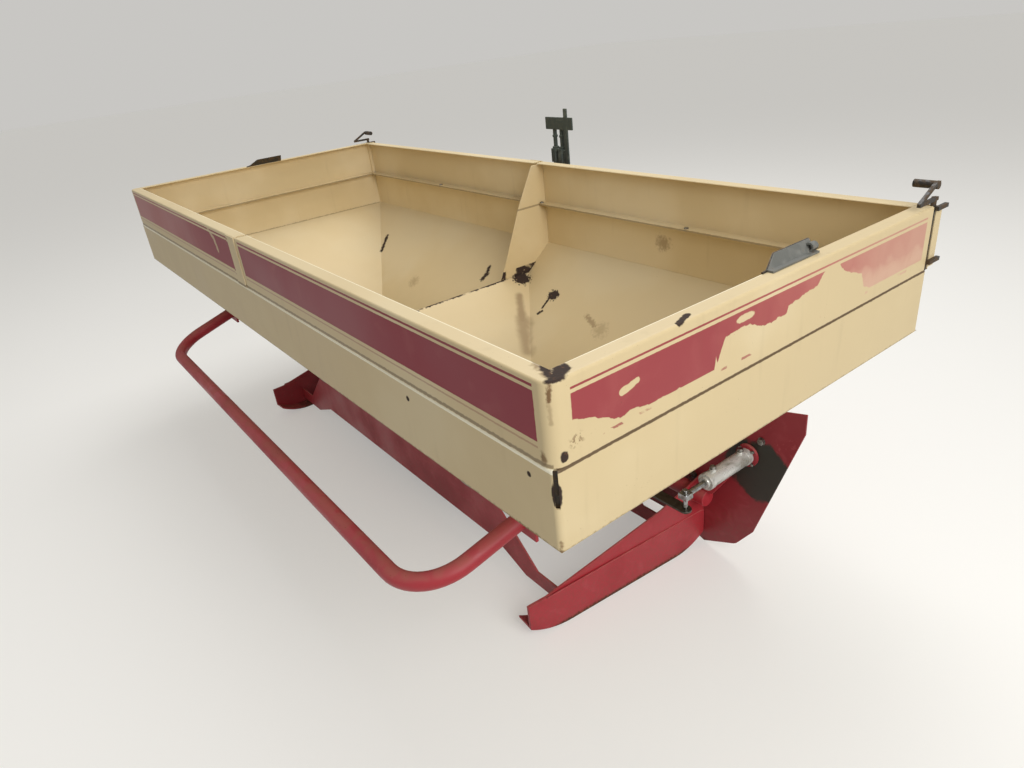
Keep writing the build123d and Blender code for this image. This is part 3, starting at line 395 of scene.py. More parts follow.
@dataclass(frozen=True)
class HopperEnamel(Finish):
    """Cream air-drying enamel sprayed on folded sheet steel, with stuck-on wine stripes.

    Years of sun and fertilizer have chalked it, so it is satin to matt, dusty on what faces up,
    with the stripes faded and peeled at the right end and rust where the paint has broken.
    Chalked paint is porous and shines less than a sound film, hence the low IOR.
    """

    ior: float = 1.40
    cream: str = "#D5C197"
    cream_pale: str = "#DCCBA6"
    cream_stained: str = "#BFA97C"
    wine: str = "#86142A"
    wine_faded: str = "#AF5F58"
    wine_chalked: str = "#D3AE93"
    rust: str = "#352821"
    rust_bright: str = "#5C3E29"
    rust_stain: str = "#6B4A2A"
    grime: str = "#5C4428"
    # Dirt in the seams; on the long sides it is also a painted shadow under the ring
    seam_dirt_and_shade: str = "#4B331C"
    dust: str = "#B29E72"
    dust_deep: str = "#8C7850"
    # Painted highlights: the rim's inner edges and the band's top fold, where rolled and folded sheet would
    # catch the light
    rim_highlight: str = "#F3EACB"
    fold_highlight: str = "#FBF4DC"

    @staticmethod
    def faces(p: Pattern) -> list[Socket]:
        """The outer faces of the ring.

        Args:
            p: The pattern.

        Returns:
            The masks of the rear, front, right and left faces.
        """
        inset = 1.0
        long_face, end_face = HALF_WIDTH_MM - inset, HALF_LENGTH_MM - inset
        places = ((p.y, -1, long_face), (p.y, 1, long_face), (p.x, 1, end_face), (p.x, -1, end_face))
        return [p.rise(value, side * face * MM, side * (face + 0.5) * MM) for value, side, face in places]

    @staticmethod
    def torn_edge() -> tuple[tuple[float, float], ...]:
        """The lower limit of the stripe at the right end, where it is torn.

        Returns:
            Pairs of a place along the end and the limit's height, in millimetres.
        """
        return (
            (-540, 948), (-528, 947), (-479, 929), (-430, 905), (-410, 913), (-366, 904), (-200, 899),
            (-192, 915), (-194, 944), (-172, 956), (-121, 960), (-44, 937), (9, 943), (14, 956), (50, 961),
            (107, 967), (124, 986), (140, 999), (180, 999), (189, 979), (229, 959), (272, 945), (286, 913),
            (320, 898), (560, 898),
        )

    def kept(self, p: Pattern) -> Socket:
        """What is left of the right end's stripe above its torn edge.

        Args:
            p: The pattern.

        Returns:
            The mask.
        """
        low, reach = 880, 120
        edge = self.torn_edge()
        start, length = edge[0][0], edge[-1][0] - edge[0][0]
        curve = add(p.tree, "ShaderNodeFloatCurve", {"Value": p.span(p.y, start, start + length)})
        points = curve.mapping.curves[0].points
        spots = [((place - start) / length, (height - low) / reach) for place, height in edge]
        points[0].location, points[-1].location = spots[0], spots[-1]
        for spot in spots[1:-1]:
            points.new(*spot)
        for point in points:
            point.handle_type = "VECTOR"
        curve.mapping.update()
        level = {0: curve.outputs[0], 1: reach * MM, 2: low * MM}
        limit = add(p.tree, "ShaderNodeMath", level, operation="MULTIPLY_ADD")
        above = add(p.tree, "ShaderNodeMath", {0: p.z, 1: limit.outputs[0]}, operation="SUBTRACT")
        return p.rise(above.outputs[0], -0.8 * MM, 0.8 * MM, p.grain(22, 4), 9 * MM)

    def stripes(self, p: Pattern, fray: Socket) -> tuple[Socket, Socket, Socket]:
        """The stripes round the ring: where they are, where they are faded and where they are nearly gone.

        Args:
            p: The pattern.
            fray: Fine noise for ragged edges.

        Returns:
            The masks of the stripes, of their faded part and of their chalked end.
        """
        rear, front, right, left = self.faces(p)
        lumps = p.grain(70, 4, warp=0.6)
        flakes = p.grain(22, 4)

        lengths = p.either(
            p.between(p.x, 18, 1340, 1.5, fray, 1.0),
            p.between(p.x, -1340, -62, 1.5, fray, 1.0),
        )
        lines = p.either(
            p.between(p.z, 912, 1000, 0.8, fray, 0.6),
            p.between(p.z, 1006, 1011, 0.8, fray, 0.6),
            p.share(p.between(p.z, 900, 904, 1.0, fray, 1.2), 0.4),
        )
        smear = p.either(
            p.stroke((-261, -572.5, 1008), (-220, -572.5, 985), 16, fray, 0.8),
            p.stroke((-220, -572.5, 985), (-211, -572.5, 951), 19, fray, 0.8),
        )
        long_side = p.either(rear, front)
        long_stripe = p.without(p.both(long_side, lengths, lines), p.share(smear, 0.75))

        end_side = p.either(right, left)
        width = p.between(p.y, -530, 535, 2, fray, 1.0)
        patch = p.both(right, p.either(
            p.stroke((1375, -425, 949), (1375, -392, 957), 13, flakes, 0.9, 0.15),
            p.blob((1375, -120, 975), (30, 26, 8), lumps, 0.9, 0.1),
        ))
        lines = p.either(
            p.both(p.between(p.z, 903, 990, 0.8, fray, 0.6), p.either(self.kept(p), left)),
            p.between(p.z, 996.5, 1000.5, 0.8, fray, 0.5),
            p.share(p.both(p.between(p.z, 893, 898, 1.0, fray, 1.5), p.rise(lumps, 0.56, 0.60)), 0.8),
        )
        end_stripe = p.both(p.without(lines, patch), width, end_side)

        fade_left = p.both(long_side, p.rise(p.x, -150 * MM, -900 * MM, lumps, 0.1))
        fade_end = p.both(right, p.rise(p.y, -420 * MM, 180 * MM, lumps, 0.10))
        faded = p.either(p.share(fade_left, 0.60), fade_end, p.share(end_side, 0.32))
        low_part = p.both(
            p.rise(p.y, 150 * MM, 215 * MM, lumps, 0.03), p.rise(p.z, 985 * MM, 915 * MM, lumps, 0.03),
        )
        far_part = p.rise(p.y, 0.0, 480 * MM, lumps, 0.08)
        chalked = p.both(right, p.either(p.share(low_part, 0.85), p.share(far_part, 0.55)))
        return p.either(long_stripe, end_stripe), faded, chalked

    @staticmethod
    def bare(p: Pattern, lumps: Socket, fine: Socket, top: Socket) -> Socket:
        """Where paint has broken down to rust.

        Args:
            p: The pattern.
            lumps: Noise of palm-sized lumps.
            fine: Fine noise.
            top: The mask of the rim's top.

        Returns:
            The mask of bare rust.
        """
        holes = p.either(
            p.blob((1375, -550, 890), (6, 8, 9.5), fine, 0.35, 0.15),
            p.blob((1309, -573, 839), (5, 6, 5.5), fine, 0.35, 0.2),
            p.blob((924, -572, 836), (6, 6, 6), fine, 0.3, 0.2),
        )
        corner = p.both(top, p.either(
            p.stroke((1349, -522, 1020), (1373, -557, 1020), 27, fine, 0.7, 0.3),
            p.stroke((1325, -537, 1020), (1358, -549, 1020), 14, fine, 0.9, 0.4),
        ))
        chip = p.stroke((1371, -290, 1020), (1359, -254, 1020), 12, fine, 0.6, 0.2)
        slot = p.both(
            p.blob((1375, -573, 827), (12.0, 12.0, 28), fine, 0.22, 0.12), p.rise(p.z, 790 * MM, 796 * MM),
        )
        # Scrapes inside the funnels, from the left one's front slope to the right one's
        scrapes = p.either(
            p.stroke((-1090, 434, 610), (-1048, 372, 560), 20, fine, 1.2),
            p.stroke((-222, 392, 576), (-214, 412, 592), 22, fine, 1.2),
            p.stroke((-214, 412, 592), (-228, 436, 611), 18, fine, 1.2),
            p.blob((18, 412, 622), (32, 34, 26), fine, 0.8, 0.15),
            p.blob((196, 412, 592), (26, 22, 20), fine, 0.9, 0.2),
            p.stroke((186, 398, 582), (184, 366, 555), 9, fine, 1.0),
            p.stroke((182, 346, 540), (192, 356, 548), 12, fine, 1.0),
        )
        off_middle = add(p.tree, "ShaderNodeMath", {0: p.x}, operation="ABSOLUTE").outputs[0]
        crest = p.both(
            p.rise(off_middle, 6.5 * MM, 3 * MM, fine, 6 * MM), p.between(p.z, 600, 660),
            p.rise(lumps, 0.42, 0.50),
        )
        return p.either(holes, corner, chip, slot, crest, scrapes)

    @staticmethod
    def stained(p: Pattern, lumps: Socket, fine: Socket, top: Socket) -> Socket:
        """Where brown stain has run from rust.

        Args:
            p: The pattern.
            lumps: Noise of palm-sized lumps.
            fine: Fine noise.
            top: The mask of the rim's top.

        Returns:
            The mask of stain.
        """
        speckled = p.both(p.blob((1375, -524, 908), (6, 15, 14), fine, 0.8, 0.5), p.rise(fine, 0.50, 0.58))
        stains = (
            (p.stroke((74, 352, 581), (155, 292, 525), 24, lumps, 1.6, 0.9), 0.55),
            (p.stroke((155, 292, 525), (249, 231, 459), 38, lumps, 1.6, 0.9), 0.5),
            (p.blob((577, 570, 806), (26, 8, 22), fine, 1.0, 0.6), 0.5),
            (p.stroke((400, 384, 570), (455, 366, 556), 16, fine, 1.6, 0.8), 0.5),
            (p.blob((487, 361, 551), (24, 24, 20), fine, 1.4, 0.8), 0.3),
            (p.blob((-640, 300, 505), (26, 26, 20), fine, 1.2, 0.8), 0.35),
            # At the near rear corner: the drip, the rim, the seam, and the band's foot
            (p.stroke((1366, -561, 1018), (1368, -565, 988), 6.5, fine, 1.3, 0.5), 0.9),
            (p.stroke((1368, -565, 990), (1368, -565, 950), 6, fine, 1.8, 0.8), 0.35),
            (p.both(p.stroke((1314, -534, 1020), (1350, -548, 1020), 20, fine, 1.2, 0.6), top), 0.6),
            (p.blob((1351, -573, 889), (6, 6, 10), fine, 0.9, 0.5), 0.75),
            (p.blob((1375, -573, 726), (6, 6, 13), fine, 1.0, 0.4), 0.9),
            (p.stroke((1250, -573, 716), (1322, -573, 716), 9, fine, 1.6, 0.6), 0.5),
            (speckled, 0.7),
        )
        return p.either(*(p.share(mask, amount) for mask, amount in stains))

    def seams(self, p: Pattern, base: Socket, fine: Socket) -> Socket:
        """Dirt in the seams, with a painted shadow under the ring on the long sides and a painted highlight
        on the band's top fold.

        Args:
            p: The pattern.
            base: The colour so far.
            fine: Fine noise.

        Returns:
            The colour with its seams.
        """
        long_face = p.rise(p.y, -565.5 * MM, -567 * MM)
        end_face = p.either(p.rise(p.x, 1368 * MM, 1369.5 * MM), p.rise(p.x, -1368 * MM, -1369.5 * MM))
        sides = p.either(long_face, end_face)
        line = p.between(p.z, 866.5, 873, 1.6, fine, 1.4)
        # The seam lines are dirt; the soft band above the fold on the long sides is a painted shadow under
        # the ring, partly dirt
        dirt_and_shade = p.either(
            p.share(p.both(line, end_face), 0.9),
            p.share(p.without(line, sides), 0.5),
            p.share(p.both(p.between(p.z, 872.5, 879.5, 3.0, fine, 3.0), long_face), 0.60),
            p.share(p.both(p.between(p.z, 713, 719, 5, fine, 5.0), sides), 0.45),
        )
        colour = p.layer(base, self.seam_dirt_and_shade, dirt_and_shade)
        # Painted highlight: a pale line on the band's top fold along the long sides
        lit_fold = p.both(p.between(p.z, 864.0, 871.6, 0.8, fine, 0.8), p.without(long_face, end_face))
        return p.layer(colour, self.fold_highlight, lit_fold)

    def surface(self, p: Pattern) -> Surface:
        """Chalked cream, stripes, rust, seam dirt and dust, with painted shade at the seams and painted
        highlights on the band's fold and the rim's inner edges.

        Args:
            p: The pattern.

        Returns:
            Colour, roughness and normal.
        """
        wide = p.grain(520, 4)
        lumps = p.grain(90, 4, warp=0.5)
        fine = p.grain(9, 4)
        speck = p.grain(3.2, 2)
        streaks = p.grain(34, 4, stretch=(1, 1, 9))

        cream = p.layer(self.cream, self.cream_pale, p.rise(wide, 0.42, 0.64))
        cream = p.layer(cream, self.cream_stained, p.rise(wide, 0.56, 0.36), 0.22)
        stripe, faded, chalked = self.stripes(p, fine)
        wine = p.layer(self.wine, self.wine_faded, faded)
        wine = p.layer(wine, self.wine_chalked, chalked)
        wine = p.layer(wine, self.wine_faded, p.rise(lumps, 0.52, 0.75), 0.18)
        colour = p.layer(cream, wine, stripe)

        # Rain streaks below the rim, seam dirt with painted shade and a painted highlight on the band's fold,
        # dust on the slopes and dirt round the outlets
        outside = p.rise(p.z, 0.70, 0.74)
        colour = p.layer(colour, self.grime, p.both(p.rise(streaks, 0.58, 0.80), outside), 0.07)
        colour = self.seams(p, colour, fine)
        dusty = p.both(p.rise(p.up, 0.25, 0.8), p.rise(wide, 0.36, 0.66))
        colour = p.layer(colour, self.dust, dusty, 0.22)
        low = p.both(p.rise(p.z, 0.56, 0.36, lumps, 0.04), p.rise(p.up, 0.2, 0.5))
        colour = p.layer(colour, self.dust_deep, low, 0.25)

        # Painted highlight: a pale line along the rim's inner edges, standing in for light caught by the
        # rolled sheet
        inner_x, inner_y = HALF_LENGTH_MM - FLANGE_MM, HALF_WIDTH_MM - FLANGE_MM
        lit_rim_edge = p.both(
            p.rise(p.z, 1.015, 1.017),
            p.either(
                p.both(p.between(p.x, inner_x - 1, inner_x + 2.2, 0.6), p.between(p.y, -505, 20, 80)),
                p.both(p.between(p.y, -inner_y - 2.2, 1 - inner_y, 0.6), p.between(p.x, -1339, 1330)),
            ),
        )
        colour = p.layer(colour, self.rim_highlight, lit_rim_edge, 0.85)

        top = p.rise(p.z, 1.0145, 1.0175, fine, 0.004)
        rust = self.bare(p, lumps, fine, top)
        stain = self.stained(p, lumps, fine, top)
        pitting = p.both(p.rise(speck, 0.72, 0.78), p.rise(lumps, 0.50, 0.62))
        colour = p.layer(colour, self.rust_bright, pitting, 0.7)
        colour = p.layer(colour, self.rust_stain, stain)
        colour = p.layer(colour, p.layer(self.rust, self.rust_bright, p.rise(fine, 0.60, 0.74)), rust)

        roughness = p.blend(0.42, 0.62, p.rise(wide, 0.35, 0.65))
        roughness = p.blend(roughness, 0.36, p.share(stripe, 0.5))
        roughness = p.blend(roughness, 0.85, p.either(rust, p.share(dusty, 0.6), stain))
        # Orange peel of sprayed enamel, the sheet's slow waves, the stripe film's edge and the rust's pits
        normal = p.relief(
            (p.grain(2.6, 2), 0.035), (p.grain(260, 2), 0.9), (stripe, 0.06), (rust, -0.5),
            (p.both(rust, speck), 0.6),
        )
        return colour, roughness, normal


@dataclass(frozen=True)
class FrameEnamel(Finish):
    """Red tractor enamel on welded plate and tube: satin, sun-bleached on top, dusty and chipped to rust."""

    red: str = "#A62832"
    red_bleached: str = "#BC555A"
    red_deep: str = "#7A1620"
    rust: str = "#4A2B1A"
    rust_bright: str = "#7C4A28"
    dust: str = "#9A866A"
    mud: str = "#5E4433"
    # Near black, for a patch on each side of the shield's rear face
    near_black: str = "#24241A"
    dark_patch: bool = False

    def surface(self, p: Pattern) -> Surface:
        """Red with bleaching, chips, rust at the ground and dust.

        Args:
            p: The pattern.

        Returns:
            Colour, roughness and normal.
        """
        wide = p.grain(240, 4)
        lumps = p.grain(46, 4, warp=0.6)
        fine = p.grain(7, 4)
        colour = p.layer(self.red, self.red_deep, p.rise(wide, 0.45, 0.70), 0.6)
        bleached = p.either(p.share(p.rise(lumps, 0.52, 0.76), 0.5), p.rise(p.up, 0.1, 0.9))
        colour = p.layer(colour, self.red_bleached, bleached, 0.40)
        scuffs = p.both(p.rise(p.grain(16, 4, stretch=(1, 5, 1)), 0.64, 0.70), p.rise(wide, 0.42, 0.52))
        colour = p.layer(colour, self.red_bleached, scuffs, 0.25)
        dusty = p.both(p.rise(p.up, 0.3, 0.95), p.rise(lumps, 0.34, 0.62))
        colour = p.layer(colour, self.dust, dusty, 0.22)
        splash = p.both(p.rise(p.z, 0.34, 0.02, lumps, 0.12), p.rise(fine, 0.40, 0.62))
        colour = p.layer(colour, self.mud, splash, 0.22)
        chips = p.both(p.rise(fine, 0.68, 0.72), p.rise(lumps, 0.56, 0.62))
        rust = p.either(chips, p.rise(p.z, 16 * MM, 3 * MM, fine, 10 * MM))
        colour = p.layer(colour, p.layer(self.rust, self.rust_bright, p.rise(fine, 0.52, 0.66)), rust)
        roughness = p.blend(0.38, 0.60, p.rise(wide, 0.35, 0.65))
        roughness = p.blend(roughness, 0.88, p.either(rust, p.share(dusty, 0.7)))
        # A near-black patch on each side of the shield's rear face
        if self.dark_patch:
            rear_face = p.rise(p.y, 293.5 * MM, 292.5 * MM)
            patches = (p.blob((side * 1158, 290, 340), (108, 12, 92), lumps, 0.30, 0.08) for _, side in SIDES)
            colour = p.layer(colour, self.near_black, p.both(p.either(*patches), rear_face))
        # Orange peel, the plate's slow waves and the rust's pits
        normal = p.relief(
            (p.grain(2.4, 2), 0.04), (p.grain(150, 2), 0.4), (rust, -0.35), (p.both(rust, fine), 0.5),
        )
        return colour, roughness, normal


@dataclass(frozen=True)
class WornGreyEnamel(Finish):
    """Grey-green enamel on small folded steel, rubbed through to dark steel along its edges, with painted
    shade on what faces down.
    """

    grey: str = "#62635E"
    dark: str = "#26241F"
    light: str = "#7D7C77"
    rust: str = "#6B5335"

    def surface(self, p: Pattern) -> Surface:
        """Scuffed grey with dark worn places and painted shade underneath.

        Args:
            p: The pattern.

        Returns:
            Colour, roughness and normal.
        """
        lumps = p.grain(30, 4, warp=0.6)
        fine = p.grain(5, 4)
        colour = p.layer(self.grey, self.light, p.rise(lumps, 0.45, 0.7), 0.7)
        # Dark places: rubbed-through wear, and painted shade on faces that point down
        bracket_dark = p.either(p.rise(fine, 0.70, 0.76), p.rise(p.up, -0.05, -0.4))
        colour = p.layer(colour, self.dark, bracket_dark, 0.85)
        colour = p.layer(colour, self.rust, p.both(p.rise(lumps, 0.56, 0.66), p.rise(fine, 0.5, 0.6)), 0.6)
        return colour, p.blend(0.45, 0.75, p.rise(lumps, 0.4, 0.6)), p.relief((fine, 0.25), (lumps, 0.5))


@dataclass(frozen=True)
class BlackedSteel(Finish):
    """Forged and blackened steel rod, oily, brown where it has rusted."""

    black: str = "#1F1B17"
    brown: str = "#4B3A26"
    brown_pale: str = "#6A5438"

    def surface(self, p: Pattern) -> Surface:
        """Black with brown rust in lumps.

        Args:
            p: The pattern.

        Returns:
            Colour, roughness and normal.
        """
        lumps = p.grain(24, 4, warp=0.5)
        fine = p.grain(3.5, 3)
        colour = p.layer(self.black, self.brown, p.rise(lumps, 0.42, 0.62))
        colour = p.layer(colour, self.brown_pale, p.rise(fine, 0.6, 0.7), 0.6)
        return colour, p.blend(0.40, 0.80, p.rise(lumps, 0.42, 0.62)), p.relief((fine, 0.3), (lumps, 0.4))


@dataclass(frozen=True)
class RackEnamel(Finish):
    """Dark grey-green enamel on the hose rack, dull with old hydraulic oil and dust."""

    base: str = "#3D4640"
    dusty: str = "#6C7368"
    near_black: str = "#25231D"

    def surface(self, p: Pattern) -> Surface:
        """Dull green-grey with dust on top.

        Args:
            p: The pattern.

        Returns:
            Colour, roughness and normal.
        """
        lumps = p.grain(26, 4, warp=0.5)
        fine = p.grain(4, 3)
        film = p.either(p.rise(lumps, 0.5, 0.7), p.rise(p.up, 0.3, 0.9))
        colour = p.layer(self.base, self.dusty, film, 0.6)
        colour = p.layer(colour, self.near_black, p.rise(fine, 0.6, 0.7), 0.6)
        return colour, p.blend(0.5, 0.8, p.rise(lumps, 0.4, 0.6)), p.relief((fine, 0.2), (lumps, 0.4))


@dataclass(frozen=True)
class TurnedSteel(Finish):
    """Bright turned steel: fine tool marks round it, a film of grease and a little brown."""

    metallic: float = 1.0
    tone: str = "#8F8D88"
    tarnish: str = "#5A4C3A"

    def surface(self, p: Pattern) -> Surface:
        """Grey metal with marks and tarnish.

        Args:
            p: The pattern.

        Returns:
            Colour, roughness and normal.
        """
        lumps = p.grain(14, 4, warp=0.5)
        # Real turning marks are a few tenths of a millimetre apart and are drawn coarser, so that they show
        marks = p.grain(1.2, 2, stretch=(6, 6, 1))
        colour = p.layer(self.tone, self.tarnish, p.rise(lumps, 0.46, 0.66), 0.8)
        return colour, p.blend(0.28, 0.55, p.rise(lumps, 0.4, 0.62)), p.relief((marks, 0.03), (lumps, 0.08))


@dataclass(frozen=True)
class ScratchedStainless(Finish):
    """Rolled stainless sheet, scoured dull by grains, with white fertilizer film and brown stains."""

    metallic: float = 1.0
    tone: str = "#8B8A86"
    dull: str = "#6F6A60"
    stain: str = "#6A4A2C"
    ring_mm: float = 1.6
    centre_mm: Point = (0.0, 0.0, 0.0)

    def surface(self, p: Pattern) -> Surface:
        """Dull metal scoured in rings round its centre.

        Args:
            p: The pattern.

        Returns:
            Colour, roughness and normal.
        """
        centre = Vector(self.centre_mm) * MM
        moved = add(p.tree, "ShaderNodeVectorMath", {0: p.place, 1: centre}, operation="SUBTRACT")
        flat = add(p.tree, "ShaderNodeVectorMath", {0: moved.outputs[0], 1: (1, 1, 0)}, operation="MULTIPLY")
        radius = add(p.tree, "ShaderNodeVectorMath", {0: flat.outputs[0]}, operation="LENGTH")
        # Real scour lines are a few tenths of a millimetre apart and are drawn coarser, so that they show
        spacing = {"W": radius.outputs["Value"], "Scale": 1 / (self.ring_mm * MM), "Detail": 2.0}
        rings = add(p.tree, "ShaderNodeTexNoise", spacing, noise_dimensions="1D").outputs["Fac"]
        lumps = p.grain(40, 4, warp=0.5)
        fine = p.grain(4, 3)
        colour = p.layer(self.tone, self.dull, p.rise(lumps, 0.40, 0.66))
        colour = p.layer(colour, self.stain, p.both(p.rise(lumps, 0.55, 0.66), p.rise(fine, 0.5, 0.62)), 0.7)
        roughness = p.blend(0.34, 0.62, p.rise(lumps, 0.38, 0.62))
        return colour, roughness, p.relief((rings, 0.03), (fine, 0.05))


@dataclass(frozen=True)
class PaintedCasting(Finish):
    """Sand-cast iron under dark paint: a coarse skin, oil-dark below and dusty on top."""

    base: str = "#2E2F31"
    oily: str = "#1A1916"
    dust: str = "#7E7159"

    def surface(self, p: Pattern) -> Surface:
        """Dark sandy skin with dust and oil.

        Args:
            p: The pattern.

        Returns:
            Colour, roughness and normal.
        """
        lumps = p.grain(50, 4, warp=0.5)
        # Moulding sand is finer than this and is drawn coarser, so that the skin shows
        sand = p.grain(1.8, 3)
        colour = p.layer(self.base, self.oily, p.rise(lumps, 0.48, 0.66))
        colour = p.layer(colour, self.dust, p.both(p.rise(p.up, 0.2, 0.9), p.rise(lumps, 0.3, 0.6)), 0.6)
        return colour, p.blend(0.5, 0.8, p.rise(lumps, 0.4, 0.6)), p.relief((sand, 0.35), (lumps, 0.6))


@dataclass(frozen=True)
class HardChrome(Finish):
    """Hard-chromed and ground piston rod under a thin film of oil."""

    metallic: float = 1.0
    tone: str = "#A2A3A4"
    smear: str = "#77736A"

    def surface(self, p: Pattern) -> Surface:
        """Bright metal with faint smears.

        Args:
            p: The pattern.

        Returns:
            Colour, roughness and normal.
        """
        lumps = p.grain(12, 3)
        # The grinding marks are drawn coarser than real ones, so that they show
        marks = p.grain(0.8, 1)
        colour = p.layer(self.tone, self.smear, p.rise(lumps, 0.42, 0.66), 0.8)
        return colour, p.blend(0.12, 0.35, p.rise(lumps, 0.4, 0.7)), p.relief((marks, 0.005))


@dataclass(frozen=True)
class GalvanisedBarrel(Finish):
    """Zinc-plated and lacquered cylinder barrel: pale grey, softly bright, with dull water marks."""

    metallic: float = 0.35
    zinc: str = "#C9C8C2"
    dull: str = "#A3A199"
    stain: str = "#7A6B50"

    def surface(self, p: Pattern) -> Surface:
        """Pale zinc with marks along the barrel.

        Args:
            p: The pattern.

        Returns:
            Colour, roughness and normal.
        """
        lumps = p.grain(22, 4, stretch=(1, 2, 1), warp=0.4)
        fine = p.grain(3, 3)
        colour = p.layer(self.zinc, self.dull, p.rise(lumps, 0.45, 0.68))
        colour = p.layer(colour, self.stain, p.both(p.rise(lumps, 0.56, 0.66), p.rise(fine, 0.5, 0.6)), 0.5)
        return colour, p.blend(0.26, 0.5, p.rise(lumps, 0.4, 0.65)), p.relief((fine, 0.03))


@dataclass(frozen=True)
class GuardPlastic(Finish):
    """Injection-moulded black polyethylene: a fine leather-like skin gone grey and dusty."""

    ior: float = 1.51
    black: str = "#141414"
    bloom: str = "#35322C"

    def surface(self, p: Pattern) -> Surface:
        """Black with a dusty bloom.

        Args:
            p: The pattern.

        Returns:
            Colour, roughness and normal.
        """
        lumps = p.grain(34, 4, warp=0.4)
        # The moulded skin is drawn coarser than the real one, so that it shows
        leather = p.grain(0.9, 2)
        film = p.either(p.rise(lumps, 0.45, 0.7), p.rise(p.up, 0.3, 0.9))
        colour = p.layer(self.black, self.bloom, film, 0.7)
        return colour, p.blend(0.42, 0.65, p.rise(lumps, 0.4, 0.6)), p.relief((leather, 0.05))


class Dress:
    """Every finish of the machine, each made once."""

    def __init__(self) -> None:
        """Make the materials."""
        self.hopper = HopperEnamel("cream_enamel_on_sheet_steel").make()
        self.frame = FrameEnamel("red_enamel_on_welded_steel").make()
        self.shield = FrameEnamel("red_enamel_with_dark_patch", red="#8C2029", dark_patch=True).make()
        self.bracket = WornGreyEnamel("worn_grey_enamel").make()
        self.latch = BlackedSteel("blackened_steel").make()
        self.rack = RackEnamel("grey_green_enamel").make()
        self.steel = TurnedSteel("turned_steel").make()
        self.casting = PaintedCasting("painted_cast_iron").make()
        self.chrome = HardChrome("hard_chrome").make()
        self.barrel = GalvanisedBarrel("zinc_plated_barrel").make()
        self.plastic = GuardPlastic("black_polyethylene").make()
        self.shutter = ScratchedStainless("tarnished_stainless", tone="#5E5A54", dull="#463F37").make()
        self.discs = {
            word: ScratchedStainless(f"scoured_stainless_{word}", centre_mm=(side * OUTLET_MM, 0, 0)).make()
            for word, side in SIDES
        }


@dataclass(frozen=True)
class Bolt:
    """Sizes of a hexagon bolt head with its washer, in millimetres."""

    across: float = 19.0
    height: float = 8.0
    washer_r: float = 13.0
    washer_t: float = 2.0


def frame_of(place: Vector, out: Vector) -> Matrix:
    """A placing matrix whose Z axis points out of a face.

    Args:
        place: Where the face is, in metres.
        out: The face's outward direction.

    Returns:
        The matrix.
    """
    return Matrix.Translation(place) @ out.to_track_quat("Z", "Y").to_matrix().to_4x4()


def at(x: float, y: float, z: float) -> Vector:
    """A place given in millimetres, in metres."""
    return Vector((x, y, z)) * MM


def ring(bm: Mesh, place: Matrix, radii_mm: list[float], height_mm: float = 0.0) -> list[bmesh.types.BMVert]:
    """Add corners about the Z axis of a placing matrix, one for each radius.

    Args:
        bm: The mesh that gets the corners.
        place: Where the ring's foot is.
        radii_mm: How far out each corner is; a single zero gives one corner on the axis.
        height_mm: How far up the axis they are.

    Returns:
        The corners.
    """
    corners = []
    for step, radius in enumerate(radii_mm):
        turn = math.tau * step / len(radii_mm)
        corners.append(bm.verts.new(place @ at(radius * math.cos(turn), radius * math.sin(turn), height_mm)))
    return corners


def skin(bm: Mesh, rings: list[list[bmesh.types.BMVert]]) -> None:
    """Join rings of corners with faces.

    Args:
        bm: The mesh that has the corners.
        rings: The rings in order, all of one count or of a single corner.
    """
    steps = max(len(corners) for corners in rings)
    for low, high in zip(rings, rings[1:]):
        for step in range(steps):
            after = (step + 1) % steps
            foot = (low[step % len(low)], low[after % len(low)])
            head = (high[after % len(high)], high[step % len(high)])
            unique = list(dict.fromkeys((*foot, *head)))
            if len(unique) > 2:
                bm.faces.new(unique)


def lathe(bm: Mesh, profile: Profile, place: Matrix, steps: int) -> None:
    """Turn a profile about the Z axis of a placing matrix.

    Args:
        bm: The mesh that gets the turned form.
        profile: Radius and height pairs in millimetres; a radius of zero closes an end.
        place: Where the form stands.
        steps: How many sides its circles have.
    """
    skin(bm, [ring(bm, place, [radius] * (steps if radius else 1), height) for radius, height in profile])


def hexagon(bm: Mesh, place: Matrix, bolt: Bolt) -> None:
    """Add a bolt head on its washer.

    Args:
        bm: The mesh that gets the bolt.
        place: Where it sits, with Z out of the face.
        bolt: Its sizes.
    """
    base, top = bolt.washer_t, bolt.washer_t + bolt.height
    lathe(bm, [(0, 0), (bolt.washer_r, 0), (bolt.washer_r, base), (0, base)], place, 20)
    corner, chamfer = bolt.across / math.sqrt(3), 1.2
    crown = bolt.across / 2 - chamfer / 2
    lathe(bm, [(0, base), (corner, base), (corner, top - chamfer), (crown, top), (0, top)], place, 6)


def rod(bm: Mesh, route: list[Vector], radius_mm: float, sides: int, wobble: float = 0.0) -> None:
    """Sweep a round bar or a weld bead along a route.

    Args:
        bm: The mesh that gets the bar.
        route: The points of its middle line, in metres.
        radius_mm: Its radius in millimetres.
        sides: How many sides its section has.
        wobble: How much the radius changes from step to step, as a share, for a weld's ripples.
    """
    rings = []
    for index, spot in enumerate(route):
        along = route[min(index + 1, len(route) - 1)] - route[max(index - 1, 0)]
        radius = radius_mm * (1 + wobble * (1 if index % 2 else -1))
        rings.append(ring(bm, frame_of(spot, along.normalized()), [radius] * sides))
    skin(bm, rings)
    bm.faces.new(reversed(rings[0]))
    bm.faces.new(rings[-1])


def bead(bm: Mesh, start: Vector, end: Vector, radius_mm: float) -> None:
    """Add a weld bead with its ripples between two points.

    Args:
        bm: The mesh that gets the bead.
        start: One end in metres.
        end: The other end.
        radius_mm: The bead's radius.
    """
    ripple = 2.6 * MM
    steps = max(2, round((end - start).length / ripple))
    rod(bm, [start.lerp(end, step / steps) for step in range(steps + 1)], radius_mm, 7, 0.10)


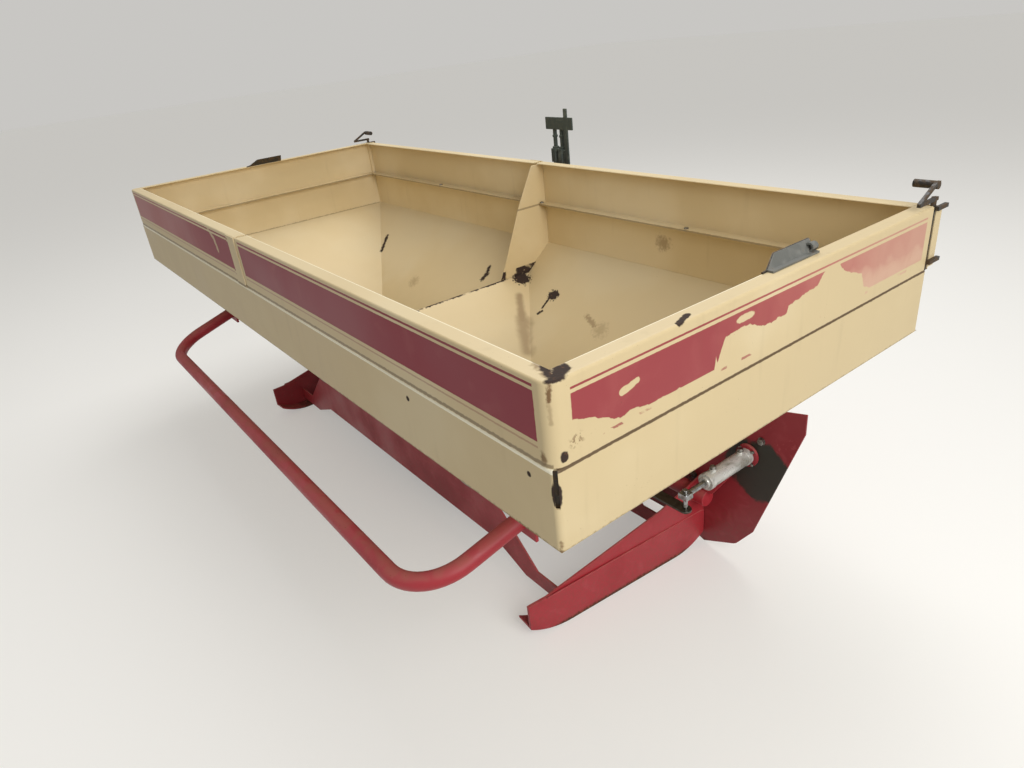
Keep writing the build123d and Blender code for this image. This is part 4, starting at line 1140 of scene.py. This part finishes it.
def ring_bead(bm: Mesh, place: Matrix, radius_mm: float, bead_mm: float) -> None:
    """Add a weld bead round a tube or shaft.

    Args:
        bm: The mesh that gets the bead.
        place: The circle's middle, with Z along the tube.
        radius_mm: The circle's radius.
        bead_mm: The bead's radius.
    """
    side_mm, sides = 3.0, 7
    turns = (math.tau * side / sides for side in range(sides + 1))
    section = [(radius_mm + bead_mm * math.cos(turn), bead_mm * math.sin(turn)) for turn in turns]
    lathe(bm, section, place, max(16, round(math.tau * radius_mm / side_mm)))


def block(bm: Mesh, place: Matrix, size_mm: Point) -> None:
    """Add a box about the middle of a placing matrix.

    Args:
        bm: The mesh that gets the box.
        place: Where its middle is, and how it is turned.
        size_mm: Its sizes along the matrix's own axes.
    """
    scale = Matrix.Diagonal((*(Vector(size_mm) * MM), 1))
    bmesh.ops.create_cube(bm, size=1.0, matrix=place @ scale)


def bolt_ring(
    bm: Mesh, middle: Vector, out: Vector, radius_mm: float, count: int, bolt: Bolt, start: float,
) -> None:
    """Add bolt heads on a circle.

    Args:
        bm: The mesh that gets them.
        middle: The circle's middle, on the face.
        out: The face's outward direction.
        radius_mm: The circle's radius.
        count: How many bolts it has.
        bolt: Their sizes.
        start: Where the first one is, in turns.
    """
    place = frame_of(middle, out)
    for index in range(count):
        turn = math.tau * (start + index / count)
        spot = Matrix.Translation(at(radius_mm * math.cos(turn), radius_mm * math.sin(turn), 0))
        hexagon(bm, place @ spot, bolt)


def piece(name: str, bm: Mesh, material: Material, body: Body, crease: float = 35.0) -> Piece:
    """Turn a mesh into a piece that rides on its body.

    Args:
        name: The piece's name.
        bm: Its mesh, which is used up.
        material: Its finish.
        body: The body it rides on.
        crease: The angle in degrees over which an edge stays sharp.

    Returns:
        The new piece.
    """
    bmesh.ops.recalc_face_normals(bm, faces=bm.faces)
    mesh = bpy.data.meshes.new(name)
    bm.to_mesh(mesh)
    bm.free()
    mesh.polygons.foreach_set("use_smooth", [True] * len(mesh.polygons))
    mesh.set_sharp_from_angle(angle=math.radians(crease))
    mesh.materials.append(material)
    thing = bpy.data.objects.new(name, mesh)
    bpy.context.collection.objects.link(thing)
    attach(thing, body.value)
    log.info("%s: %d faces", name, len(mesh.polygons))
    return thing


def near_mesh(node: str) -> Mesh:
    """A clean copy of a CAD node's mesh, with its flat faces joined.

    Args:
        node: The node's name.

    Returns:
        The mesh.
    """
    bm = bmesh.new()
    bm.from_mesh(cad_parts[node].data)
    bmesh.ops.remove_doubles(bm, verts=bm.verts, dist=1e-5)
    bmesh.ops.dissolve_limit(bm, angle_limit=math.radians(0.8), verts=bm.verts, edges=bm.edges)
    return bm


def soften(
    node: str, material: Material, width_mm: float, body: Body = Body.FRAME,
    bm: Mesh | None = None,
) -> Piece:
    """Copy a CAD node, give its sharp edges their small radius and dress it.

    Args:
        node: The node it stands for.
        material: Its finish.
        width_mm: The edges' radius in millimetres; zero leaves them as they are.
        body: The body it rides on.
        bm: The node's mesh where it was prepared before.

    Returns:
        The dressed piece.
    """
    bm = bm or near_mesh(node)
    if width_mm > 0:
        sharp = [e for e in bm.edges if e.is_manifold and e.calc_face_angle(0.0) > math.radians(28)]
        bmesh.ops.bevel(
            bm, geom=sharp, offset=width_mm * MM, segments=2, profile=0.5, affect="EDGES", clamp_overlap=True,
        )
    dressed = piece(f"{node}_dressed", bm, material, body)
    even = dressed.modifiers.new("even_normals", "WEIGHTED_NORMAL")
    even.keep_sharp = True
    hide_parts(node)
    return dressed


@dataclass
class Hopper:
    """The cream hopper: ring, band, funnels, gussets and what is fixed to them."""

    dress: Dress
    edge_mm: float = 0.8
    fold_mm: float = 5.0
    ledge_bolts: tuple[Point, ...] = ((10.0, 545.0, 871.2), (-690.0, 545.0, 871.2), (690.0, 545.0, 871.2))
    bracket_rear: tuple[float, float] = (-62.0, -8.0)
    bracket_foot_z: float = 1022.0
    bracket_top_z: float = 1044.0
    backing: Point = (19.0, 1.5, 74.0)
    backing_z: float = 833.0
    strip_t: float = 1.2
    strip_h: float = 145.0
    strip_z: float = 944.5

    def build(self) -> None:
        """Dress every sheet, then add the fixings."""
        for word, _ in SIDES:
            for kind in ("ring", "front_panel", "funnel", "outlet"):
                soften(f"{kind}_{word}", self.dress.hopper, self.edge_mm)
            bracket_dark = self.dress.bracket if word == "right" else self.dress.latch
            soften(f"end_bracket_{word}", bracket_dark, self.edge_mm)
            soften(f"corner_latch_{word}", self.dress.latch, 1.0)
        for word in ("front", "rear"):
            soften(f"gusset_{word}", self.dress.hopper, self.edge_mm)
            soften(f"seam_strip_{word}", self.dress.hopper, self.edge_mm)
        self.band()
        self.bolts()
        self.bracket_beads()
        self.corners()

    def band(self) -> None:
        """The lower band, with the bend along its top."""
        bm = near_mesh("hopper_band")
        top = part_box("hopper_band")[1]

        def outer(vert: bmesh.types.BMVert) -> bool:
            """Whether a corner lies on the band's outer top edge."""
            outside = max(abs(vert.co.x) - top[0], abs(vert.co.y) - top[1])
            return abs(vert.co.z - top[2]) < 1e-5 and outside > -4 * MM

        folds = [
            e for e in bm.edges
            if e.is_manifold and all(outer(v) for v in e.verts) and e.calc_face_angle(0.0) > math.radians(60)
        ]
        bmesh.ops.bevel(
            bm, geom=folds, offset=self.fold_mm * MM, segments=4, profile=0.5, affect="EDGES",
            clamp_overlap=False,
        )
        soften("hopper_band", self.dress.hopper, 0.0, bm=bm)

    def bolts(self) -> None:
        """Bolts on the ledge that carries the ring."""
        bm = bmesh.new()
        for spot in self.ledge_bolts:
            hexagon(bm, frame_of(at(*spot), UP), Bolt(13, 6, 10, 1.5))
        piece("ledge_bolts", bm, self.dress.steel, Body.FRAME)

    def bracket_beads(self) -> None:
        """Dark beads along the brackets: under the foot, up the slope and along the top, down the curl."""
        bm = bmesh.new()
        foot, top = self.bracket_foot_z, self.bracket_top_z
        for (_, side), rear in zip(SIDES, self.bracket_rear):
            edge = side * (HALF_LENGTH_MM - FLANGE_MM)
            line = [at(edge, rear - 14, foot - 0.5), at(edge, rear, foot), at(edge, rear + 150, foot)]
            rod(bm, line, 2.4, 8)
            bend = at(edge - side * 12.5, rear + 36, top)
            rod(bm, [at(edge - side, rear + 2, foot + 2), bend, bend + at(0, 114, 0)], 1.6, 8)
            rod(bm, [at(edge + side, rear + 124, foot + 2), at(edge - side * 12, rear + 120, top)], 2.0, 8)
        piece("bracket_beads", bm, self.dress.latch, Body.FRAME)

    def corners(self) -> None:
        """The backing of the open rear corners, and the flanges that close the front corners inside."""
        bm = bmesh.new()
        for _, side in SIDES:
            inner = at(side * (HALF_LENGTH_MM - 10), 10 - HALF_WIDTH_MM, self.backing_z)
            turned = Matrix.Translation(inner) @ Matrix.Rotation(math.radians(45 * side), 4, "Z")
            block(bm, turned, self.backing)
        piece("corner_backings", bm, self.dress.latch, Body.FRAME)
        bm = bmesh.new()
        for _, side in SIDES:
            end_strip = at(side * 1361.6, 562.0, self.strip_z)
            block(bm, Matrix.Translation(end_strip), (self.strip_t, 14.2, self.strip_h))
            front_strip = at(side * 1366.6, 555.6, self.strip_z)
            block(bm, Matrix.Translation(front_strip), (11.0, self.strip_t, self.strip_h))
        piece("corner_flanges", bm, self.dress.hopper, Body.FRAME)


@dataclass
class FrameWork:
    """The red frame: runners, beam, shield, head frame, hitch and guard bow."""

    dress: Dress
    bolt: Bolt = Bolt()
    shield_bolt: Bolt = Bolt(17, 7, 11, 2)
    shield_y: float = 290.0
    shield_bolts: tuple[tuple[float, float], ...] = ((1158, 438), (940, 150), (940, 230), (560, 380))
    hanger_bolt_x: float = 28.0
    hanger_bolt_z: float = 85.0
    mast_x: float = 38.0
    mast_bolts: tuple[float, float] = (610, 660)
    runner_toe: float = 55 / 640
    post_y: float = 561.0
    link_faces_x: tuple[float, float] = (412.5, 392.5)
    rail_edges_z: tuple[float, ...] = (262, 322, 560, 620)
    arm_faces_x: tuple[float, float] = (383, 442)
    pin_hole: Point = (496.0, 612.0, 300.0)

    def build(self) -> None:
        """Dress the welded pieces, then add bolts, welds and pins."""
        for node in ("cross_beam", "front_tube", "head_frame", "top_link_mast"):
            soften(node, self.dress.frame, 1.5)
        soften("front_shield", self.dress.shield, 1.2)
        for word, _ in SIDES:
            for kind in ("side_frame", "cylinder_lug", "bow_hanger", "lower_link"):
                soften(f"{kind}_{word}", self.dress.frame, 1.2)
        soften("guard_bow", self.dress.frame, 1.5)
        self.bolts()
        self.welds()
        self.pins()

    def bolts(self) -> None:
        """Bolt heads on the bow's hangers, the shield and the mast."""
        bm = bmesh.new()
        for word, side in SIDES:
            low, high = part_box(f"bow_hanger_{word}")
            middle = (low[0] + high[0]) / 2
            level = low[2] + self.hanger_bolt_z * MM
            for way in (-1, 1):
                place = Vector((middle + way * self.hanger_bolt_x * MM, low[1], level))
                hexagon(bm, frame_of(place, REARWARD), self.bolt)
            for x, z in self.shield_bolts:
                hexagon(bm, frame_of(at(side * x, self.shield_y, z), REARWARD), self.shield_bolt)
            for z in self.mast_bolts:
                hexagon(bm, frame_of(at(side * self.mast_x, 620, z), Vector((side, 0, 0))), self.bolt)
        piece("frame_bolts", bm, self.dress.steel, Body.FRAME)

    def welds(self) -> None:
        """Beads where tube and plate are joined."""
        bm = bmesh.new()
        toe, post_y = self.runner_toe, self.post_y
        for _, side in SIDES:
            # The front tube at the side frame, and the side plate on its toed-in runner
            ring_bead(bm, frame_of(at(side * 975, 250, 204), Vector((1, 0, 0))), 25.5, 3.0)
            bead(bm, at(side * (927.5 + 60 * toe), -290, 122), at(side * (922.8 + 630 * toe), 280, 122), 2.6)
            # The bow's arm at its hanger
            arm = at(side * (1039 - 998 - 22), 272.5, 77)
            ring_bead(bm, frame_of(at(side * 1020, -401, 492), arm.normalized()), 22.5, 3.5)
            # The link plates on the head frame's posts, its rails between them, and the mast on the top rail
            for x in self.link_faces_x:
                bead(bm, at(side * x, post_y, 240), at(side * x, post_y, 360), 3.5)
            for z in self.rail_edges_z:
                bead(bm, at(side * 373, 560, z), at(side * 371, 500, z), 3.0)
            bead(bm, at(side * self.mast_x, post_y, 562), at(side * self.mast_x, post_y, 618), 3.5)
            # The head frame's arms where they pass the shield's front
            for x in self.arm_faces_x:
                bead(bm, at(side * x, 296, 146), at(side * x, 296, 204), 2.8)
        piece("weld_beads", bm, self.dress.frame, Body.FRAME, 60)

    def pins(self) -> None:
        """Linch pins with their rings, on the ends of the lower link pins."""
        bm = bmesh.new()
        x, y, z = self.pin_hole
        for _, side in SIDES:
            hole = at(side * x, y, z)
            head = hole + at(0, 0, 24)
            rod(bm, [hole - at(0, 0, 26), head], 5.5, 12)
            turns = (math.tau * step / 24 for step in range(25))
            loop = [
                head + at(side * 10 * (1 - math.cos(turn)), 22 * math.sin(turn), -8 - 8 * math.cos(turn))
                for turn in turns
            ]
            rod(bm, loop, 1.8, 8)
        piece("linch_pins", bm, self.dress.steel, Body.FRAME, 50)


@dataclass
class Drive:
    """Gearboxes, drive tubes, input shaft and its guard."""

    dress: Dress
    axis_z: float = 140.0
    # Covers on the drive's axis: place along the hopper, facing outward or inward, radius
    axis_covers: tuple[tuple[float, int, float], ...] = ((90, 1, 50), (450, -1, 50), (590, 1, 46))
    plug: Bolt = Bolt(17, 7, 12, 1.5)
    plug_z: float = 78.0
    journal_r: float = 20.0
    journal_end: float = 88.0
    splines: int = 6
    crest_mm: float = 17.4
    root_mm: float = 14.6

    def build(self) -> None:
        """Dress the housings, then add covers, flanges and the splined stub."""
        soften("centre_gearbox", self.dress.casting, 3.0)
        for word, _ in SIDES:
            soften(f"disc_gearbox_{word}", self.dress.casting, 3.0)
            soften(f"drive_tube_{word}", self.dress.casting, 1.0)
        soften("pto_guard", self.dress.plastic, 1.5)
        self.covers()
        self.stub()

    def cover(self, housing: Mesh, screws: Mesh, middle: Vector, out: Vector, radius: float) -> None:
        """Add a round cover or flange with its six screws.

        Args:
            housing: The mesh of cast pieces.
            screws: The mesh of screws.
            middle: The cover's middle on the face.
            out: The face's outward direction.
            radius: Its radius in millimetres.
        """
        height, chamfer, sunk = 8.0, 1.5, -1.0
        edge = [(radius, sunk), (radius, height - chamfer), (radius - chamfer, height)]
        lathe(housing, [(0, sunk), *edge, (0, height)], frame_of(middle, out), 40)
        bolt_ring(screws, middle + out * height * MM, out, radius - 8, 6, Bolt(10, 5, 7, 1), 1 / 12)

    def covers(self) -> None:
        """Bearing covers, tube flanges, plugs and breathers on the housings."""
        housing, screws = bmesh.new(), bmesh.new()
        z = self.axis_z
        for _, side in SIDES:
            outward = Vector((side, 0, 0))
            for x, way, radius in self.axis_covers:
                self.cover(housing, screws, at(side * x, 0, z), outward * way, radius)
            for way in (-1, 1):
                self.cover(housing, screws, at(side * OUTLET_MM, way * 70, 150), Vector((0, way, 0)), 40)
            hexagon(screws, frame_of(at(side * OUTLET_MM, 0, self.plug_z), DOWN), self.plug)
        self.cover(housing, screws, at(0, -95, z), REARWARD, 58)
        self.cover(housing, screws, at(0, 110, z), FORWARD, 52)
        hexagon(screws, frame_of(at(0, 0, self.plug_z), DOWN), self.plug)
        hexagon(screws, frame_of(at(62, -95, 195), REARWARD), Bolt(17, 9, 12, 1.5))
        piece("gearbox_covers", housing, self.dress.casting, Body.FRAME)
        piece("gearbox_screws", screws, self.dress.steel, Body.FRAME)

    def stub(self) -> None:
        """The input shaft: journal, splines with their locking groove and a chamfered end."""
        bm = bmesh.new()
        low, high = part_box("pto_shaft")
        base = frame_of(Vector((0, low[1], self.axis_z * MM)), FORWARD)
        length = (high[1] - low[1]) / MM
        start, wide, crest = self.journal_end, self.journal_r, self.crest_mm
        journal = [(0, 0), (wide, 0), (wide, start - 6.3), (crest, start - 4.8), (crest, start), (0, start)]
        lathe(bm, journal, base, 48)
        # Places along the shaft, and how far the crests stand there as a share of their radius
        sections = (
            (start, 1.0), (110, 1.0), (length - 40, 1.0), (length - 38.5, 0.84), (length - 30, 0.84),
            (length - 28.5, 1.0), (length - 3, 1.0), (length, 0.86),
        )
        rings = []
        for height, share in sections:
            top = crest * share
            tooth = [top] * 6 + [min(self.root_mm, top)] * 6
            rings.append(ring(bm, base, tooth * self.splines, height))
        skin(bm, rings)
        bm.faces.new(rings[-1])
        stub = piece("splined_stub", bm, self.dress.steel, Body.INPUT)
        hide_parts("pto_shaft")


@dataclass
class Spinners:
    """The spreading discs with their vanes, the agitators and the shutters."""

    dress: Dress
    disc_top: float = 266.0
    hub_top: float = 272.0
    hub_bolts_r: float = 44.0
    vanes: int = 6
    vane_start: float = 75.0
    vane_lean: float = 12.0
    vane_bolts: tuple[float, float] = (22.0, 140.0)
    vane_bolt_off: float = 11.0

    def build(self) -> None:
        """Dress the discs and agitators on their bodies, then bolt them together."""
        for word, side in SIDES:
            body = Body(f"spinner_{word}")
            soften(f"disc_{word}", self.dress.discs[word], 0.6, body)
            soften(f"agitator_{word}", self.dress.steel, 1.0, body)
            soften(f"shutter_{word}", self.dress.shutter, 0.8)
            self.bolts(word, side, body)

    def bolts(self, word: str, side: int, body: Body) -> None:
        """Bolts on a disc's hub and beside its vanes.

        Args:
            word: The disc's side in words.
            side: Its side as a sign.
            body: The body that it turns with.
        """
        bm = bmesh.new()
        hub = at(side * OUTLET_MM, 0, self.hub_top)
        bolt_ring(bm, hub, UP, self.hub_bolts_r, 6, Bolt(13, 5, 9, 1.5), 1 / 12)
        lathe(bm, [(0, 0), (24, 0), (24, 5), (20, 9), (0, 9)], frame_of(hub, UP), 32)
        for index in range(self.vanes):
            turn = math.tau * index / self.vanes
            start = Vector((math.cos(turn), math.sin(turn))) * self.vane_start
            lean = turn - math.radians(self.vane_lean * side)
            along = Vector((math.cos(lean), math.sin(lean)))
            across = Vector((-along.y, along.x)) * side
            for reach in self.vane_bolts:
                spot = start + along * reach + across * self.vane_bolt_off
                place = at(side * OUTLET_MM + spot.x, spot.y, self.disc_top)
                hexagon(bm, frame_of(place, UP), Bolt(10, 4.5, 7, 1))
        piece(f"disc_bolts_{word}", bm, self.dress.steel, body)


@dataclass
class Cylinders:
    """The two hydraulic cylinders that move the shutters."""

    dress: Dress
    axis: tuple[float, float] = (1120.0, 380.0)
    flange_y: float = 280.5
    # Where the caps of the barrel start and end, and where its ports are, from the rear
    caps: tuple[tuple[float, float], ...] = ((111.0, 128.0), (264.0, 281.0))
    ports: tuple[float, float] = (140.0, 252.0)
    gland_y: float = 106.0
    eye_y: float = 34.0

    def build(self) -> None:
        """Dress the barrels and rods, paint their flanges and add the fittings."""
        for word, side in SIDES:
            barrel = soften(f"cylinder_{word}", self.dress.barrel, 1.0)
            barrel.data.materials.append(self.dress.frame)
            for face in barrel.data.polygons:
                face.material_index = int(face.center.y > self.flange_y * MM)
            soften(f"cylinder_rod_{word}", self.dress.chrome, 0.8)
            self.fittings(word, side)

    def fittings(self, word: str, side: int) -> None:
        """End caps, ports with their plugs, flange screws and the eye's washers.

        Args:
            word: The cylinder's side in words.
            side: Its side as a sign.
        """
        x, z = side * self.axis[0], self.axis[1]
        caps = bmesh.new()
        for start, end in self.caps:
            long = end - start
            edge = [(22.6, 0), (23.6, 1.2), (23.6, long - 1.2), (22.2, long)]
            lathe(caps, [(8.6, 0), *edge, (8.6, long)], frame_of(at(x, start, z), FORWARD), 40)
        gland = [(8.4, 0), (14, 0), (15, 1.5), (15, 6), (8.4, 6)]
        lathe(caps, gland, frame_of(at(x, self.gland_y, z), FORWARD), 32)
        for y in self.ports:
            lathe(caps, [(9, -3), (9, 6), (7, 8), (0, 8)], frame_of(at(x, y, z + 21), UP), 24)
        piece(f"cylinder_caps_{word}", caps, self.dress.barrel, Body.FRAME)
        screws = bmesh.new()
        for y in self.ports:
            hexagon(screws, frame_of(at(x, y, z + 29), UP), Bolt(14, 7, 9, 1))
        bolt_ring(screws, at(x, self.caps[-1][1], z), REARWARD, 28.5, 4, Bolt(8, 5, 4.5, 0.6), 1 / 8)
        washer = [(6.2, 0), (11, 0), (11, 1.8), (6.2, 1.8)]
        for level in (z - 8.2, z + 8):
            lathe(screws, washer, frame_of(at(x, self.eye_y, level), UP), 24)
        rod(screws, [at(x - 10, self.eye_y, z + 13), at(x + 10, self.eye_y, z + 13)], 1.4, 8)
        piece(f"cylinder_screws_{word}", screws, self.dress.steel, Body.FRAME)


@dataclass
class HoseRack:
    """The rack over the front rim with its parked couplings."""

    dress: Dress
    depth_y: float = 675.5
    places: tuple[float, float] = (-40.0, -3.0)
    # Sleeves of a coupling and its pipe: foot, top and radius
    sleeves: tuple[Point, ...] = ((1046, 1053, 12.5), (1086, 1094, 10), (985, 998, 12.5), (717, 727, 13))
    bore_r: float = 7.0
    third_x: float = 16.0

    def build(self) -> None:
        """Dress the rack and the couplings, then add their sleeves and a third, thinner one."""
        soften("hose_rack", self.dress.rack, 1.2)
        soften("hose_couplings", self.dress.rack, 1.0)
        bm = bmesh.new()
        bore = self.bore_r
        for x in self.places:
            for low, high, radius in self.sleeves:
                long, narrow = high - low, radius - 1
                edge = [(narrow, 0), (radius, 1), (radius, long - 1), (narrow, long)]
                lathe(bm, [(bore, 0), *edge, (bore, long)], frame_of(at(x, self.depth_y, low), UP), 28)
        # The third one, as radii and heights
        third = ((0, 717), (7, 717), (7, 990), (12, 992), (12, 1040), (6, 1044), (6, 1115), (0, 1115))
        foot = third[0][1]
        place = frame_of(at(self.third_x, self.depth_y, foot), UP)
        lathe(bm, [(radius, height - foot) for radius, height in third], place, 24)
        piece("coupling_sleeves", bm, self.dress.rack, Body.FRAME)


@dataclass
class Studio:
    """A pale floor and backdrop, soft lamps and the camera of the photograph."""

    camera_place: Point = (2.07127, -1.11311, 1.47408)
    heading: float = 145.271
    pitch: float = -26.8325
    roll: float = -6.66
    lens_mm: float = 24.82
    floor_size: float = 60.0
    world_level: float = 0.40
    floor_lift: float = 0.38
    backdrop_level: float = 0.64
    pale: str = "#F4F2EE"
    floor_tone: str = "#C9C8C4"
    aim: Point = (0.0, 0.0, 0.7)
    # Name, place, size in metres and power in watts
    lamps: tuple[tuple[str, Point, float, float], ...] = (
        ("key", (4.4, -0.7, 2.9), 2.6, 135.0),
        ("top", (-0.9, 1.6, 4.4), 3.0, 120.0),
    )

    def build(self) -> None:
        """Set up floor, light, camera and colour."""
        self.floor()
        self.light()
        self.camera()
        bpy.context.scene.view_settings.view_transform = "Standard"

    def seen(self, tree: Tree) -> Socket:
        """One where a ray shows the backdrop: straight from the camera, mirrored or through glass.

        Args:
            tree: The floor's or the world's tree.

        Returns:
            The mask.
        """
        path = add(tree, "ShaderNodeLightPath").outputs
        indirect = {0: path["Is Glossy Ray"], 1: path["Is Transmission Ray"]}
        shiny = add(tree, "ShaderNodeMath", indirect, operation="MAXIMUM").outputs[0]
        straight = {0: path["Is Camera Ray"], 1: shiny}
        return add(tree, "ShaderNodeMath", straight, operation="MAXIMUM").outputs[0]

    def floor(self) -> None:
        """A pale matt floor that the runners stand on and that keeps their shadow."""
        bm = bmesh.new()
        bmesh.ops.create_grid(bm, x_segments=1, y_segments=1, size=self.floor_size / 2)
        mesh = bpy.data.meshes.new("floor")
        bm.to_mesh(mesh)
        bm.free()
        material = bpy.data.materials.new("pale_floor")
        material.use_nodes = True
        tree = material.node_tree
        shader = tree.nodes["Principled BSDF"]
        shader.inputs["Base Color"].default_value = linear(self.floor_tone)
        shader.inputs["Roughness"].default_value = 0.9
        shader.inputs["Specular IOR Level"].default_value = 0.1
        shader.inputs["Emission Color"].default_value = linear(self.pale)
        lift = add(tree, "ShaderNodeMath", {0: self.seen(tree), 1: self.floor_lift}, operation="MULTIPLY")
        tree.links.new(lift.outputs[0], shader.inputs["Emission Strength"])
        mesh.materials.append(material)
        ground = bpy.data.objects.new("floor", mesh)
        ground.location.z = -0.5 * MM
        bpy.context.collection.objects.link(ground)

    def light(self) -> None:
        """A wide soft lamp at the camera's right, one overhead, and an even world with a pale backdrop."""
        world = bpy.data.worlds.new("studio")
        bpy.context.scene.world = world
        world.use_nodes = True
        tree = world.node_tree
        back = tree.nodes["Background"]
        back.inputs["Color"].default_value = linear(self.pale)
        level = add(
            tree, "ShaderNodeMapRange",
            {"Value": self.seen(tree), "To Min": self.world_level, "To Max": self.backdrop_level},
        )
        tree.links.new(level.outputs["Result"], back.inputs["Strength"])
        for name, place, size, watts in self.lamps:
            lamp = bpy.data.lights.new(name, "AREA")
            lamp.size = size
            lamp.energy = watts
            thing = bpy.data.objects.new(name, lamp)
            thing.location = place
            thing.rotation_euler = (Vector(self.aim) - Vector(place)).to_track_quat("-Z", "Y").to_euler()
            bpy.context.collection.objects.link(thing)

    def camera(self) -> None:
        """The camera where the photograph was taken from."""
        lens = bpy.data.cameras.new("camera")
        lens.sensor_width = 36.0
        lens.lens = self.lens_mm
        lens.clip_start = 0.05
        camera = bpy.data.objects.new("camera", lens)
        turn = Matrix.Rotation(math.radians(self.heading - 90), 4, "Z")
        tilt = Matrix.Rotation(math.radians(self.pitch + 90), 4, "X")
        roll = Matrix.Rotation(math.radians(self.roll), 4, "Z")
        camera.matrix_world = Matrix.Translation(self.camera_place) @ turn @ tilt @ roll
        bpy.context.collection.objects.link(camera)
        bpy.context.scene.camera = camera


def main() -> None:
    """Build every sub-assembly, then the studio."""
    logging.basicConfig(level=logging.INFO, format="%(message)s")
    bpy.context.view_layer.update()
    dress = Dress()
    for group in (Hopper, FrameWork, Drive, Spinners, Cylinders, HoseRack):
        group(dress).build()
        log.info("%s dressed", group.__name__)
    Studio().build()


if __name__ == "__main__":
    main()
